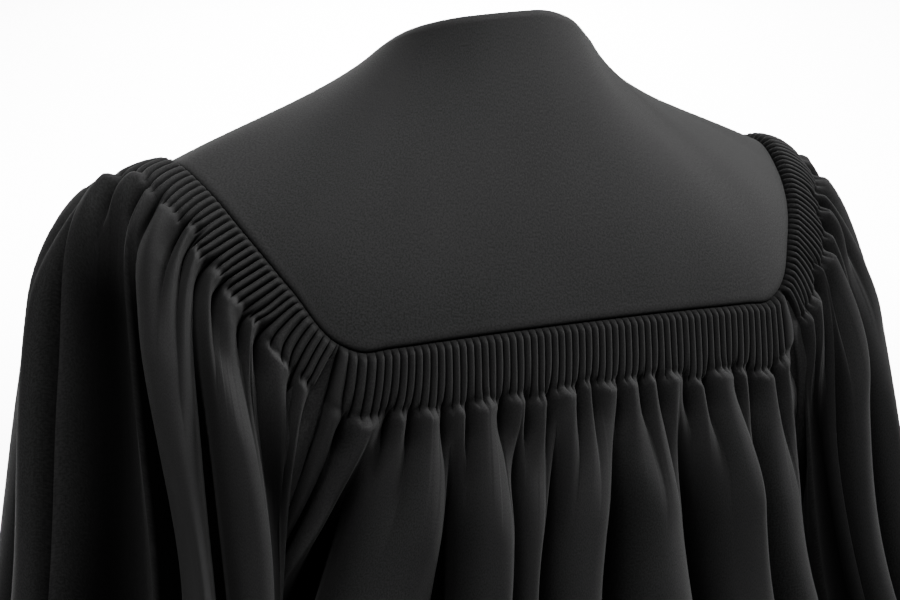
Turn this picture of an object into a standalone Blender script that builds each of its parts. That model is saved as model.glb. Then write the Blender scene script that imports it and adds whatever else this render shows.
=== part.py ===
"""A worn graduation gown: a smooth yoke, with a fluted back, fronts and sleeves falling from it.

Metres, +Z up. The wearer faces -Y, the wearer's left is +X, and the origin is at the base of the neck.
Grids have rows running down the cloth and columns running round it, from the wearer's right front,
past the back, to the left front.
"""
import math
from collections import namedtuple

import bmesh
import bpy
import numpy as np
from mathutils import Matrix, Vector

# Cloth
CLOTH_WALL = 0.0026
FLUTED_WALL = 0.0018
YOKE_WALL = 0.0026
SEAM_GAP = 0.0003
FLUTE_HEIGHT = 0.0045
FLUTE_CLOTH = 0.020

# Neck edge: its height goes with the turn from the back, in degrees
NECK_HALF_WIDTH = 0.076
NECK_HALF_DEPTH = 0.068
NECK_ROUNDNESS = 2.0 / 2.1
NECK_FULLNESS = 0.9
SEAM_FULLNESS = 1.1
YOKE_SOFTNESS = 0.040
YOKE_SLOPE = 0.34
NeckEdge = namedtuple("NeckEdge", "turn height fall right_drop")
NECK_EDGES = [
    NeckEdge(0, 0.036, 72, 0.0), NeckEdge(20, 0.035, 70, 0.005), NeckEdge(40, 0.032, 66, 0.016),
    NeckEdge(60, 0.025, 53, 0.018), NeckEdge(90, 0.004, 28, 0.009), NeckEdge(120, -0.018, 38, 0.006),
    NeckEdge(150, -0.058, 52, 0.002), NeckEdge(180, -0.090, 62, 0.0),
]

# The yoke's lower edge, from the centre back round the wearer's left to the centre front. The cloth
# leaves it towards heading, in degrees from the back, and slopes down by fall.
Station = namedtuple("Station", "name neck_turn x y z heading fall")
YOKE_STATIONS = [
    Station("back_centre", 0, 0.000, 0.118, -0.143, 0, 82),
    Station("back_quarter", 24, 0.080, 0.116, -0.144, 4, 82),
    Station("back_side", 39, 0.127, 0.1128, -0.1455, 7, 82),
    Station("back_end", 45, 0.146, 0.110, -0.146, 12, 80),
    Station("back_corner", 50, 0.157, 0.106, -0.141, 32, 74),
    Station("blade", 58, 0.178, 0.088, -0.110, 56, 60),
    Station("shoulder_back", 68, 0.193, 0.068, -0.083, 68, 38),
    Station("shoulder_rise", 79, 0.203, 0.045, -0.061, 78, 10),
    Station("shoulder_top", 92, 0.210, 0.015, -0.046, 90, 2),
    Station("shoulder_front", 104, 0.207, -0.020, -0.055, 98, 4),
    Station("chest_side", 118, 0.197, -0.058, -0.083, 112, 28),
    Station("chest_low", 128, 0.178, -0.088, -0.118, 130, 64),
    Station("front_corner", 134, 0.161, -0.101, -0.137, 152, 76),
    Station("front_end", 139, 0.149, -0.106, -0.142, 168, 80),
    Station("front_side", 145, 0.127, -0.110, -0.143, 172, 81),
    Station("front_quarter", 160, 0.078, -0.117, -0.144, 176, 82),
    Station("front_edge", 177.4, 0.0035, -0.122, -0.144, 180, 84),
]
RIGHT_SHOULDER_DROP = 0.017

# Level sections of the body below the arms. Even is how evenly the cloth is spread round it.
BodyLevel = namedtuple("BodyLevel", "name z half_width back_depth front_depth even")
BODY_LEVELS = [
    BodyLevel("underarm", -0.330, 0.205, 0.150, 0.140, 0.0),
    BodyLevel("thigh", -0.850, 0.290, 0.232, 0.200, 0.7),
    BodyLevel("hem", -1.280, 0.370, 0.300, 0.255, 1.0),
]
BODY_ROUNDNESS = 2.0 / 2.5
SIDE_SEAM_Y = 0.004

# Level sections of the left sleeve below the arm. Its front and back wrap towards the body.
SleeveLevel = namedtuple("SleeveLevel", "name z centre_x centre_y half_width half_depth wrap")
SLEEVE_LEVELS = [
    SleeveLevel("elbow", -0.400, 0.281, 0.008, 0.055, 0.126, 0.050),
    SleeveLevel("cuff", -0.700, 0.378, 0.004, 0.076, 0.170, 0.030),
]
SLEEVE_BACK_TURN = -36.0
SLEEVE_FRONT_TURN = 216.0

# Folds, each fed by a few flutes, and plain stretches. Width is at the level under the arms.
Fold = namedtuple("Fold", "flutes width depth")
Plain = namedtuple("Plain", "columns seam width depth")
SIDE = Plain(3, 0.0055, 0.080, 0.0)
CORNER_FOLD = Plain(4, 0.0165, 0.045, 0.016)
FRONT_BAND = Plain(3, 0.028, 0.034, 0.0)
BACK_LAYOUT = [
    Plain(3, 0.0055, 0.108, 0.0), Fold(5, 0.055, 0.020), Fold(11, 0.0675, 0.023), Fold(8, 0.0635, 0.022),
    Fold(7, 0.045, 0.020), Fold(5, 0.024, 0.016), Fold(8, 0.045, 0.020), Fold(8, 0.090, 0.022),
    Plain(4, 0.0165, 0.028, 0.012), Plain(3, 0.0055, 0.047, 0.0),
]
FRONT_LAYOUT = [
    SIDE, CORNER_FOLD, Fold(4, 0.034, 0.018), Fold(4, 0.032, 0.018), Fold(4, 0.034, 0.019),
    Fold(4, 0.032, 0.016), FRONT_BAND,
]
SLEEVE_LAYOUT = [
    Fold(5, 0.035, 0.0), Fold(6, 0.033, 0.016), Fold(9, 0.048, 0.020), Fold(3, 0.022, 0.0),
    Fold(3, 0.030, 0.014), Fold(6, 0.060, 0.012), Fold(6, 0.052, 0.010), Fold(6, 0.052, 0.008),
]
FOLD_ROUNDNESS = 0.8

# Rows down the cloth: distances from the yoke, then shares of what is left down to each level
FLUTE_RISE = 0.006
FLUTE_END = 0.037
LEDGE = 0.050
FOLD_FULL = 0.076
SMALL_FOLD_DEPTH = 0.005
SMALL_FOLD_GONE = 0.150
TOP_ROWS = [0.0, FLUTE_RISE, FLUTE_END, LEDGE]
ARMHOLE_SHARES = [0.30, 0.65, 1.0]
SKIRT_SHARES = [1.0]
SLEEVE_UPPER_SHARES = [0.13, 0.32, 0.62, 1.0]
SLEEVE_LOWER_SHARES = [1.0]
YOKE_ROWS = [0.0, 0.22, 0.46, 0.74, 1.0]

# How far a column carries on from the yoke, and arrives at the level under the arms, as a share of
# the distance between them
PANEL_LEAVES = 1.0
PANEL_ARRIVES = 1.0
LEFT_SLEEVE_LEAVES = 0.85
RIGHT_SLEEVE_LEAVES = 0.60
SLEEVE_ARRIVES = 1.40
SLEEVE_CORNER_LEAVES = (0.66, 0.0, -0.75)
SLEEVE_CORNER_WIDTH = 0.060
ARMHOLE_LEAVES = (0.35, 0.0, -0.94)
ARMHOLE_ARRIVAL = (0.25, 1.0, -0.35)
ARMHOLE_WIDTH = 0.115
SLEEVE_SEAM_MARGIN = 0.0015
SHOULDER_GAP = 0.02
FRONT_EDGE_SHARE = 0.012

# Zip: its tapes lie behind the front edges, and its slider is run up to the neck
ZIP_START = 0.008
ZIP_FOOT = -0.90
TAPE_WIDTH = 0.024
TAPE_WALL = 0.0012
TAPE_GAP = 0.0007
TAPE_BOW = 0.0032
CHAIN_WIDTH = 0.0050
CHAIN_RISE = 0.0026
SLIDER_WIDTH = 0.0056
SLIDER_LENGTH = 0.012
SLIDER_ABOVE = 0.003
PLATE_WALL = 0.0014
POST_WIDTH = 0.0020
LUG_OFFSET = 0.0021
LUG_WALL = 0.0008
LUG_LENGTH = 0.0026
LUG_SUNK = 0.0004
PIN_RADIUS = 0.0006
PIN_STAND_OFF = 0.0019
EYE_RADIUS = 0.0015
EYE_WIDTH = 0.0028
PULL_WIDTH = 0.0055
PULL_LENGTH = 0.028
PULL_NECK = 0.0032
PULL_WALL = 0.0012

BLACK_CLOTH = (0.012, 0.012, 0.013, 1.0)
DARK_METAL = (0.10, 0.10, 0.11, 1.0)

STATION_NAMES = [station.name for station in YOKE_STATIONS]
CORNER = STATION_NAMES.index("back_corner")
SHOULDER_SEAM = STATION_NAMES.index("shoulder_top") + 0.5
FRONT_CORNER = STATION_NAMES.index("front_corner")
FRONT_EDGE = STATION_NAMES.index("front_edge")
MIDDLE = len(YOKE_STATIONS) - 1
LEFT = 1
RIGHT = -1


def unit(vectors):
    return vectors / np.maximum(np.linalg.norm(vectors, axis=-1, keepdims=True), 1e-12)


def ramp(values, start, stop):
    """0 up to start and 1 from stop on, with a smooth rise between."""
    share = np.clip((np.asarray(values, float) - start) / (stop - start), 0.0, 1.0)
    return share * share * (3.0 - 2.0 * share)


def hermite(start, start_pull, end, end_pull, share):
    square = share * share
    cube = square * share
    return ((2 * cube - 3 * square + 1) * start + (cube - 2 * square + share) * start_pull
            + (3 * square - 2 * cube) * end + (cube - square) * end_pull)


def through(stations, places):
    """A smooth curve through the stations, read at places from 0 to the last station."""
    steps = np.linalg.norm(np.diff(stations[:, 1:4], axis=0), axis=1)[:, None]
    rates = np.diff(stations, axis=0) / steps
    between = (rates[:-1] * steps[1:] + rates[1:] * steps[:-1]) / (steps[1:] + steps[:-1])
    slopes = np.concatenate([rates[:1], between, rates[-1:]])
    places = np.clip(np.asarray(places, float), 0.0, len(stations) - 1.0)
    below = np.minimum(places.astype(int), len(stations) - 2)
    step = steps[below]
    return hermite(stations[below], slopes[below] * step, stations[below + 1], slopes[below + 1] * step,
                   (places - below)[:, None])


def distance_along(points):
    steps = np.linalg.norm(np.diff(points, axis=0), axis=-1)
    return np.concatenate([np.zeros_like(steps[:1]), np.cumsum(steps, axis=0)])


def smooth_columns(table, values):
    """The table's other columns, read smoothly at values of its first one."""
    knots, columns = table[:, 0], table[:, 1:]
    steps = np.diff(knots)[:, None]
    rates = np.diff(columns, axis=0) / steps
    between = (rates[:-1] * steps[1:] + rates[1:] * steps[:-1]) / (steps[1:] + steps[:-1])
    slopes = np.concatenate([np.zeros_like(rates[:1]), between, np.zeros_like(rates[:1])])
    below = np.clip(np.searchsorted(knots, values, side="right") - 1, 0, len(steps) - 1)
    step = steps[below]
    share = (values - knots[below])[:, None] / step
    return hermite(columns[below], slopes[below] * step, columns[below + 1], slopes[below + 1] * step, share).T


def stations_all_round():
    """The yoke's stations from the right front edge, past the back, to the left front edge."""
    left = np.array([station[1:] for station in YOKE_STATIONS], float)
    right = left[:0:-1] * np.array([-1, -1, 1, 1, -1, 1])
    top = YOKE_STATIONS[STATION_NAMES.index("shoulder_top")].z
    right[:, 3] -= RIGHT_SHOULDER_DROP * ramp(right[:, 3], YOKE_STATIONS[CORNER].z, top)
    return np.vstack([right, left])


ALL_STATIONS = stations_all_round()


def compass(heading, fall):
    """Unit directions from headings off the back and slopes below level, in degrees."""
    heading, fall = np.radians(np.broadcast_arrays(heading, fall))
    return np.stack([np.sin(heading) * np.cos(fall), np.cos(heading) * np.cos(fall), -np.sin(fall)], -1)


def yoke_edge(places):
    """Points, leaving directions and outward normals on the yoke's edge, and the neck's turns.

    A place is a station's number, positive on the wearer's left and negative on the right.
    """
    values = through(ALL_STATIONS, np.asarray(places, float) + MIDDLE)
    reach = 0.02
    ahead = through(ALL_STATIONS, np.asarray(places, float) + MIDDLE + reach)
    behind = through(ALL_STATIONS, np.asarray(places, float) + MIDDLE - reach)
    leaving = compass(values[:, 4], values[:, 5])
    normals = unit(np.cross(ahead[:, 1:4] - behind[:, 1:4], leaving))
    return values[:, 1:4], leaving, normals, values[:, 0]


def evenly_along_edge(start, stop, shares):
    """Places on the yoke's edge at shares of the distance between two places."""
    places = np.linspace(start, stop, 400)
    run = distance_along(yoke_edge(places)[0])
    return np.interp(shares, run / run[-1], places)


def yoke_arrival(places):
    """The yoke's directions at its lower edge, averaged along it to lie smooth inside the corners."""
    stretch = np.linspace(-FRONT_EDGE, FRONT_EDGE, 900)
    edge, leaving = yoke_edge(stretch)[:2]
    run = distance_along(edge)
    here = np.interp(places, stretch, run)
    weights = np.exp(-((here[:, None] - run) / YOKE_SOFTNESS) ** 2) * np.gradient(run)
    return unit(weights @ leaving / weights.sum(axis=1, keepdims=True) - [0.0, 0.0, YOKE_SLOPE])


def yoke_surface(places, shares):
    """Points on the yoke: rows from the neck to the lower edge, columns round the body."""
    seams, leaving, normals, turns = yoke_edge(places)
    height, fall, right_drop = smooth_columns(np.array(NECK_EDGES, float), np.abs(turns))
    height = height - right_drop * (turns < 0)
    across, back = np.sin(np.radians(turns)), np.cos(np.radians(turns))
    x = NECK_HALF_WIDTH * np.sign(across) * np.abs(across) ** NECK_ROUNDNESS
    y = NECK_HALF_DEPTH * np.sign(back) * np.abs(back) ** NECK_ROUNDNESS
    necks = np.stack([x, y, height], axis=-1)
    span = np.linalg.norm(seams - necks, axis=1, keepdims=True)
    neck_pull = compass(turns, fall) * span * NECK_FULLNESS
    seam_pull = yoke_arrival(places) * span * SEAM_FULLNESS
    return np.stack([hermite(necks, neck_pull, seams, seam_pull, share) for share in shares])


def grid_normals(grid, closed=False):
    if closed:
        across = np.roll(grid, -1, axis=1) - np.roll(grid, 1, axis=1)
    else:
        across = np.gradient(grid, axis=1)
    return unit(np.cross(across, np.gradient(grid, axis=0)))


def wall(name, outer, inner, material, closed=False):
    """A closed solid between an outer and an inner grid, round a tube where it is closed."""
    rows, columns = outer.shape[:2]
    spans = columns if closed else columns - 1
    shape = bmesh.new()
    front = [[shape.verts.new(point) for point in row] for row in outer]
    behind = [[shape.verts.new(point) for point in row] for row in inner]

    def add_quad(a, b, c, d):
        shape.faces.new((a, b, c))
        shape.faces.new((a, c, d))

    for row in range(rows - 1):
        for column in range(spans):
            after = (column + 1) % columns
            add_quad(front[row][column], front[row + 1][column], front[row + 1][after], front[row][after])
            add_quad(behind[row + 1][after], behind[row + 1][column], behind[row][column], behind[row][after])
    for column in range(spans):
        after = (column + 1) % columns
        add_quad(front[0][column], front[0][after], behind[0][after], behind[0][column])
        add_quad(front[-1][after], front[-1][column], behind[-1][column], behind[-1][after])
    if not closed:
        for row in range(rows - 1):
            add_quad(front[row][0], behind[row][0], behind[row + 1][0], front[row + 1][0])
            add_quad(front[row + 1][-1], behind[row + 1][-1], behind[row][-1], front[row][-1])
    bmesh.ops.recalc_face_normals(shape, faces=shape.faces)
    mesh = bpy.data.meshes.new(name)
    shape.to_mesh(mesh)
    shape.free()
    mesh.materials.append(material)
    piece = bpy.data.objects.new(name, mesh)
    gown.objects.link(piece)
    return piece


def make_material(name, colour, roughness, metallic):
    material = bpy.data.materials.new(name)
    material.use_nodes = True
    shader = material.node_tree.nodes["Principled BSDF"]
    shader.inputs["Base Color"].default_value = colour
    shader.inputs["Roughness"].default_value = roughness
    shader.inputs["Metallic"].default_value = metallic
    return material


Layout = namedtuple("Layout", "seam width cloth ridge depth phase ripple")


def lay_out(stretches, edge_length):
    """Columns for a run of folds: shares of the seam, of the level below the arms and of the cloth.

    Ridge is 1 on the crest of a flute, phase runs from 0 to 1 over a fold, and ripple over 2 flutes.
    """
    flutes = sum(stretch.flutes for stretch in stretches if isinstance(stretch, Fold))
    plain = sum(stretch.seam for stretch in stretches if isinstance(stretch, Plain))
    pitch = (edge_length - plain) / flutes
    columns = [(0.0, 0.0, 0.0, 0.0, 0.0, 0.0, 0.0)]
    passed = 0.0
    for stretch in stretches:
        fluted = isinstance(stretch, Fold)
        count = 2 * stretch.flutes if fluted else stretch.columns
        seam_width = stretch.flutes * pitch if fluted else stretch.seam
        cloth_width = stretch.flutes * FLUTE_CLOTH if fluted else stretch.width
        seam, width, cloth = columns[-1][:3]
        for column in range(1, count + 1):
            share = column / count
            ridge = float(column % 2) if fluted else 0.0
            ripple = (passed + share * stretch.flutes) % 2.0 / 2.0 if fluted else 0.0
            columns.append((seam + share * seam_width, width + share * stretch.width,
                            cloth + share * cloth_width, ridge, stretch.depth, share, ripple))
        passed += stretch.flutes if fluted else 0.0
    layout = np.array(columns).T
    layout[:3] /= layout[:3, -1:]
    return Layout(*layout)


def body_section(level, back, shares):
    """Points on a half section of the body, at shares from -1 at the right seam to 1 at the left one."""
    depth = level.back_depth if back else -level.front_depth
    seam_y = SIDE_SEAM_Y + (SEAM_GAP / 2 if back else -SEAM_GAP / 2)
    angle = np.linspace(-math.pi / 2, math.pi / 2, 361)
    x = level.half_width * np.sign(angle) * np.abs(np.sin(angle)) ** BODY_ROUNDNESS
    y = seam_y + (depth - seam_y) * np.abs(np.cos(angle)) ** BODY_ROUNDNESS
    run = distance_along(np.stack([x, y], axis=-1))
    wanted = (np.asarray(shares) + 1.0) / 2.0 * run[-1]
    return np.stack([np.interp(wanted, run, x), np.interp(wanted, run, y), np.full(len(wanted), level.z)], -1)


def sleeve_section(level, turns, side):
    angle = np.radians(turns)
    x = level.centre_x + level.half_width * np.sin(angle) - level.wrap * np.cos(angle) ** 2
    y = level.centre_y + level.half_depth * np.cos(angle)
    return np.stack([side * x, y, np.full_like(x, level.z)], axis=-1)


def falling(starts, leaving, arriving, sections, leave_share, arrive_share, row_shares):
    """Rows of smooth columns of cloth, from their starts down through the sections.

    The first rows lie at set distances from the yoke. Row_shares gives the others, section by section.
    """
    grid = []
    above, pull = starts, leaving * leave_share
    for index, section in enumerate(sections):
        length = np.linalg.norm(section - above, axis=1, keepdims=True)
        down = arriving if index + 1 == len(sections) else unit(sections[index + 1] - section)
        arrival = arriving * arrive_share if index == 0 else down
        path = np.stack([hermite(above, pull * length, section, arrival * length, share)
                         for share in np.linspace(0.0, 1.0, 33)])
        run = distance_along(path)
        wanted = []
        if index == 0:
            reach = np.minimum(1.0, 0.4 * run[-1] / TOP_ROWS[-1])
            wanted = [distance * reach for distance in TOP_ROWS]
        reached = wanted[-1] if wanted else np.zeros(len(starts))
        wanted += [reached + (run[-1] - reached) * share for share in row_shares[index]]
        for distances in wanted:
            row = [[np.interp(distances[column], run[:, column], path[:, column, axis]) for axis in range(3)]
                   for column in range(len(starts))]
            grid.append(row)
        above, pull = section, down
    return np.array(grid)


def relief(layout, grid):
    """Heights of the folds and of the flutes on a grid, and the thickness of its wall."""
    down = distance_along(grid)
    large = layout.depth * np.sin(np.pi * layout.phase) ** FOLD_ROUNDNESS * ramp(down, FLUTE_END, FOLD_FULL)
    small = SMALL_FOLD_DEPTH * np.sin(np.pi * layout.ripple)
    small = small * ramp(down, FLUTE_END, LEDGE) * (1.0 - ramp(down, LEDGE, SMALL_FOLD_GONE))
    flutes = layout.ridge * FLUTE_HEIGHT * ramp(down, 0.0, FLUTE_RISE) * (1.0 - ramp(down, FLUTE_END, LEDGE))
    thickness = FLUTED_WALL + (CLOTH_WALL - FLUTED_WALL) * ramp(down, FLUTE_END, LEDGE)
    return (large + small)[..., None], flutes[..., None], thickness[..., None]


Armhole = namedtuple("Armhole", "points outward normals")


def turned_towards(leaving, direction, side, normals, share):
    """Leaving directions turned by a share towards another one, kept along the cloth."""
    target = np.array(direction) * [side, 1, 1]
    target = unit(target - np.sum(target * normals, axis=1, keepdims=True) * normals)
    return unit(leaving + share[:, None] * (target - leaving))


def body_panel(name, stretches, start, stop, side, ends, arm_columns, material):
    """A back or front panel from its seam with the yoke to the hem, and its edges round the arms."""
    back = start == -stop
    edge_length = distance_along(yoke_edge(np.linspace(start, stop, 400))[0])[-1]
    layout = lay_out(stretches, edge_length)
    points, leaving, normals = yoke_edge(evenly_along_edge(start, stop, layout.seam))[:3]
    starts = points.copy()
    clearance = np.full((len(points), 1), SEAM_GAP)
    span = sum(stretch.width for stretch in stretches)
    sections = []
    for level in BODY_LEVELS:
        shares = layout.width + (layout.cloth - layout.width) * level.even
        section = body_section(level, back, ends[0] + (ends[1] - ends[0]) * shares)
        sections.append(section * [side, 1, 1])
    arriving = unit(sections[1] - sections[0])
    for column in arm_columns:
        from_edge = np.abs(layout.width - layout.width[column]) * span
        nearness = np.clip(1.0 - from_edge / ARMHOLE_WIDTH, 0.0, 1.0) ** 2
        across = math.copysign(1.0, points[column, 0])
        arrival = np.array([across * ARMHOLE_ARRIVAL[0], -ARMHOLE_ARRIVAL[1] if back else ARMHOLE_ARRIVAL[1],
                            ARMHOLE_ARRIVAL[2]])
        arriving = unit(arriving + nearness[:, None] * (unit(arrival) - arriving))
        clearance += 1.5 * SEAM_GAP * nearness[:, None]
        starts = points + leaving * clearance
        leaving = turned_towards(leaving, ARMHOLE_LEAVES, across, normals, nearness)
    row_shares = [ARMHOLE_SHARES] + [SKIRT_SHARES] * (len(sections) - 1)
    grid = falling(starts, leaving, arriving, sections, PANEL_LEAVES, PANEL_ARRIVES, row_shares)
    facing = grid_normals(grid) * side
    facing[0] = normals
    under_arm = len(TOP_ROWS) + len(ARMHOLE_SHARES) - 1
    armholes = []
    for column in arm_columns:
        across = math.copysign(1.0, points[column, 0])
        facing[under_arm:, column] = [across, 0.0, 0.0]
        armholes.append(armhole_edge(grid, facing, column, under_arm))
    folds, flutes, thickness = relief(layout, grid)
    wall(name, grid + facing * (folds + flutes), grid + facing * (folds - thickness), material)
    return armholes, grid


def armhole_edge(grid, facing, column, under_arm):
    """The edge of a panel round the arm: its points, and the ways out along and off the cloth."""
    beside = column + 1 if column == 0 else column - 1
    points = grid[:under_arm + 1, column]
    normals = facing[:under_arm + 1, column]
    along = unit(np.gradient(points, axis=0))
    outward = points - grid[:under_arm + 1, beside]
    outward = outward - np.sum(outward * normals, axis=1, keepdims=True) * normals
    outward = outward - np.sum(outward * along, axis=1, keepdims=True) * along
    return Armhole(points, unit(outward), normals)


def sleeve(name, side, back_armhole, front_armhole, material):
    """A sleeve: a tube from the yoke's side and the armhole to the open cuff."""
    edge_length = distance_along(yoke_edge(np.linspace(CORNER, FRONT_CORNER, 400) * side)[0])[-1]
    margin = SLEEVE_SEAM_MARGIN / edge_length
    layout = lay_out(SLEEVE_LAYOUT, edge_length)
    shares = margin + (1.0 - 2.0 * margin) * layout.seam
    places = evenly_along_edge(CORNER * side, FRONT_CORNER * side, shares)
    points, leaving, normals = yoke_edge(places)[:3]
    points = points + leaving * SEAM_GAP
    from_corner = np.minimum(layout.seam, 1.0 - layout.seam) * edge_length
    nearness = 1.0 - ramp(from_corner, 0.0, SLEEVE_CORNER_WIDTH)
    leaving = turned_towards(leaving, SLEEVE_CORNER_LEAVES, side, normals, nearness)
    turn = SLEEVE_BACK_TURN + (SLEEVE_FRONT_TURN - SLEEVE_BACK_TURN) * layout.width

    # round the arm, down the front edge and up the back one, the sleeve turns from lying on with the
    # panel to standing off it
    rows = len(front_armhole.points)
    share_down = np.linspace(0.0, 1.0, rows)
    lean = np.pi / 2 * ramp(share_down, 0.1, 1.0)[:, None]
    arm_points, arm_leaving, arm_normals = [], [], []
    for armhole, corner in ((front_armhole, leaving[-1]), (back_armhole, leaving[0])):
        outward = np.cos(lean) * armhole.outward + np.sin(lean) * armhole.normals
        blend = ramp(share_down, 0.0, 0.35)[:, None]
        arm_points.append(armhole.points + outward * SEAM_GAP * (1.0 + 1.6 * share_down[:, None]))
        arm_leaving.append(unit(corner + (outward - corner) * blend))
        arm_normals.append(np.cos(lean) * armhole.normals - np.sin(lean) * armhole.outward)
    middle = [np.concatenate([front, back[-2::-1]])
              for front, back in (arm_points, arm_leaving, arm_normals)]
    arm_turn = np.linspace(SLEEVE_FRONT_TURN, 360.0 + SLEEVE_BACK_TURN, len(middle[0]) + 2)[1:-1]

    starts = np.concatenate([points, middle[0]])
    leaving = np.concatenate([leaving, middle[1]])
    normals = np.concatenate([normals, middle[2]])
    turn = np.concatenate([turn, arm_turn])
    plain = np.zeros(len(arm_turn))
    layout = Layout(*(np.concatenate([values, plain]) for values in layout))
    sections = [sleeve_section(level, turn, side) for level in SLEEVE_LEVELS]
    arriving = unit(sections[1] - sections[0])
    leaves = LEFT_SLEEVE_LEAVES if side == LEFT else RIGHT_SLEEVE_LEAVES
    grid = falling(starts, leaving, arriving, sections, leaves, SLEEVE_ARRIVES,
                   [SLEEVE_UPPER_SHARES, SLEEVE_LOWER_SHARES])
    facing = grid_normals(grid, closed=True) * side
    facing[0] = normals
    folds, flutes, thickness = relief(layout, grid)
    wall(name, grid + facing * (folds + flutes), grid + facing * (folds - thickness), material, closed=True)


def zip_line(yoke_grid, panel_grid):
    """Points down the middle of the front, from near the neck to the zip's foot, and their directions."""
    line = np.concatenate([yoke_grid[:, -1], panel_grid[1:, -1]]) * [0.0, 1.0, 1.0]
    run = distance_along(line)
    foot = np.interp(-ZIP_FOOT, -line[:, 2], run)
    wanted = np.concatenate([[ZIP_START], run[(run > ZIP_START + TAPE_WIDTH) & (run < foot)], [foot]])
    points = np.stack([np.interp(wanted, run, line[:, axis]) for axis in range(3)], axis=-1)
    along = unit(np.gradient(points, wanted, axis=0))
    off = np.stack([np.zeros(len(points)), along[:, 2], -along[:, 1]], axis=-1)
    return points, along, off


def zip_tape(points, off, material):
    """Two tapes behind the front edges, joined by the closed chain that is raised between them."""
    half = 0.5 * TAPE_WIDTH
    foot, crest = 0.5 * CHAIN_WIDTH + 0.0002, 0.5 * CHAIN_WIDTH
    across = np.array([-half, -foot, -crest, crest, foot, half])
    behind = -(CLOTH_WALL + TAPE_GAP)
    heights = behind + np.array([-TAPE_BOW, 0.0, CHAIN_RISE, CHAIN_RISE, 0.0, -TAPE_BOW])
    backs = behind + np.array([-TAPE_BOW, 0.0, 0.0, 0.0, 0.0, -TAPE_BOW]) - TAPE_WALL
    middle = points[:, None] + across[None, :, None] * [1.0, 0.0, 0.0]
    wall("zip_tape", middle + off[:, None] * heights[None, :, None],
         middle + off[:, None] * backs[None, :, None], material)


def block(name, centre, size, frame, material, bevel=0.0):
    """A box in the slider's frame, with its size given across, along and off the zip."""
    bpy.ops.mesh.primitive_cube_add(size=1.0)
    piece = bpy.context.active_object
    piece.name = name
    piece.data.transform(Matrix.Diagonal((*size, 1.0)))
    if bevel:
        rounded = piece.modifiers.new("edges", "BEVEL")
        rounded.width = bevel
        rounded.segments = 2
    return placed(piece, centre, frame, material)


def rod(name, centre, radius, length, frame, material):
    """A cylinder across the zip, in the slider's frame."""
    bpy.ops.mesh.primitive_cylinder_add(vertices=20, radius=radius, depth=length)
    piece = bpy.context.active_object
    piece.name = name
    piece.data.transform(Matrix.Rotation(math.pi / 2, 4, "Y"))
    return placed(piece, centre, frame, material)


def placed(piece, centre, frame, material):
    piece.matrix_world = frame @ Matrix.Translation(centre)
    piece.data.materials.append(material)
    for collection in list(piece.users_collection):
        collection.objects.unlink(piece)
    gown.objects.link(piece)
    return piece


def combine(piece, other, operation):
    """Adds or cuts another piece, which is then kept only as a hidden guide."""
    change = piece.modifiers.new(other.name, "BOOLEAN")
    change.operation = operation
    change.object = other
    gown.objects.unlink(other)
    guides.objects.link(other)
    other.hide_render = True
    other.display_type = "WIRE"


def zip_slider_and_pull(points, along, off, material):
    """The slider round the top end of the closed chain, and its tab, which swings on the slider's pin."""
    up, out = Vector(-along[0]), Vector(off[0])
    frame = Matrix((up.cross(out), up, out)).transposed().to_4x4()
    frame.translation = Vector(points[0])
    front = CHAIN_RISE - CLOTH_WALL - TAPE_GAP + SEAM_GAP
    behind = -CLOTH_WALL - TAPE_GAP - TAPE_WALL - SEAM_GAP
    top = front + PLATE_WALL
    pin = top + PIN_STAND_OFF
    middle = SLIDER_ABOVE - SLIDER_LENGTH / 2
    size = (SLIDER_WIDTH, SLIDER_LENGTH, PLATE_WALL)
    slider = block("zip_slider", (0, middle, front + PLATE_WALL / 2), size, frame, material, bevel=0.0005)
    plate = block("slider_back_plate", (0, middle, behind - PLATE_WALL / 2), size, frame, material, bevel=0.0005)
    post = block("slider_post", (0, (SLIDER_ABOVE + SEAM_GAP) / 2, (front + behind) / 2),
                 (POST_WIDTH, SLIDER_ABOVE - SEAM_GAP * 2, front - behind + PLATE_WALL), frame, material)
    combine(slider, post, "UNION")
    combine(slider, plate, "UNION")
    lug_height = PIN_STAND_OFF + PIN_RADIUS + LUG_WALL
    for side in (LEFT, RIGHT):
        lug = block("slider_lug", (side * LUG_OFFSET, middle, top + lug_height / 2 - LUG_SUNK / 2),
                    (LUG_WALL, LUG_LENGTH, lug_height + LUG_SUNK), frame, material)
        combine(slider, lug, "UNION")
    bar = rod("slider_pin", (0, middle, pin), PIN_RADIUS, 2 * LUG_OFFSET, frame, material)
    combine(slider, bar, "UNION")

    plate_length = PULL_LENGTH - PULL_NECK
    pull = block("zip_pull", (0, middle - PULL_NECK - plate_length / 2, pin),
                 (PULL_WIDTH, plate_length, PULL_WALL), frame, material, bevel=0.0004)
    neck = block("pull_neck", (0, middle - PULL_NECK / 2 - EYE_RADIUS / 2, pin),
                 (EYE_WIDTH, PULL_NECK, PULL_WALL), frame, material)
    eye = rod("pull_eye", (0, middle, pin), EYE_RADIUS, EYE_WIDTH + 0.0001, frame, material)
    hole = rod("pull_hole", (0, middle, pin), PIN_RADIUS + SEAM_GAP, EYE_WIDTH * 2, frame, material)
    combine(pull, neck, "UNION")
    combine(pull, eye, "UNION")
    combine(pull, hole, "DIFFERENCE")


def yoke_piece(name, places, material):
    grid = yoke_surface(places, YOKE_ROWS)
    facing = grid_normals(grid) * math.copysign(1.0, places[-1] - places[0])
    facing[-1] = yoke_edge(places)[2]
    wall(name, grid, grid - facing * YOKE_WALL, material)
    return grid


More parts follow.
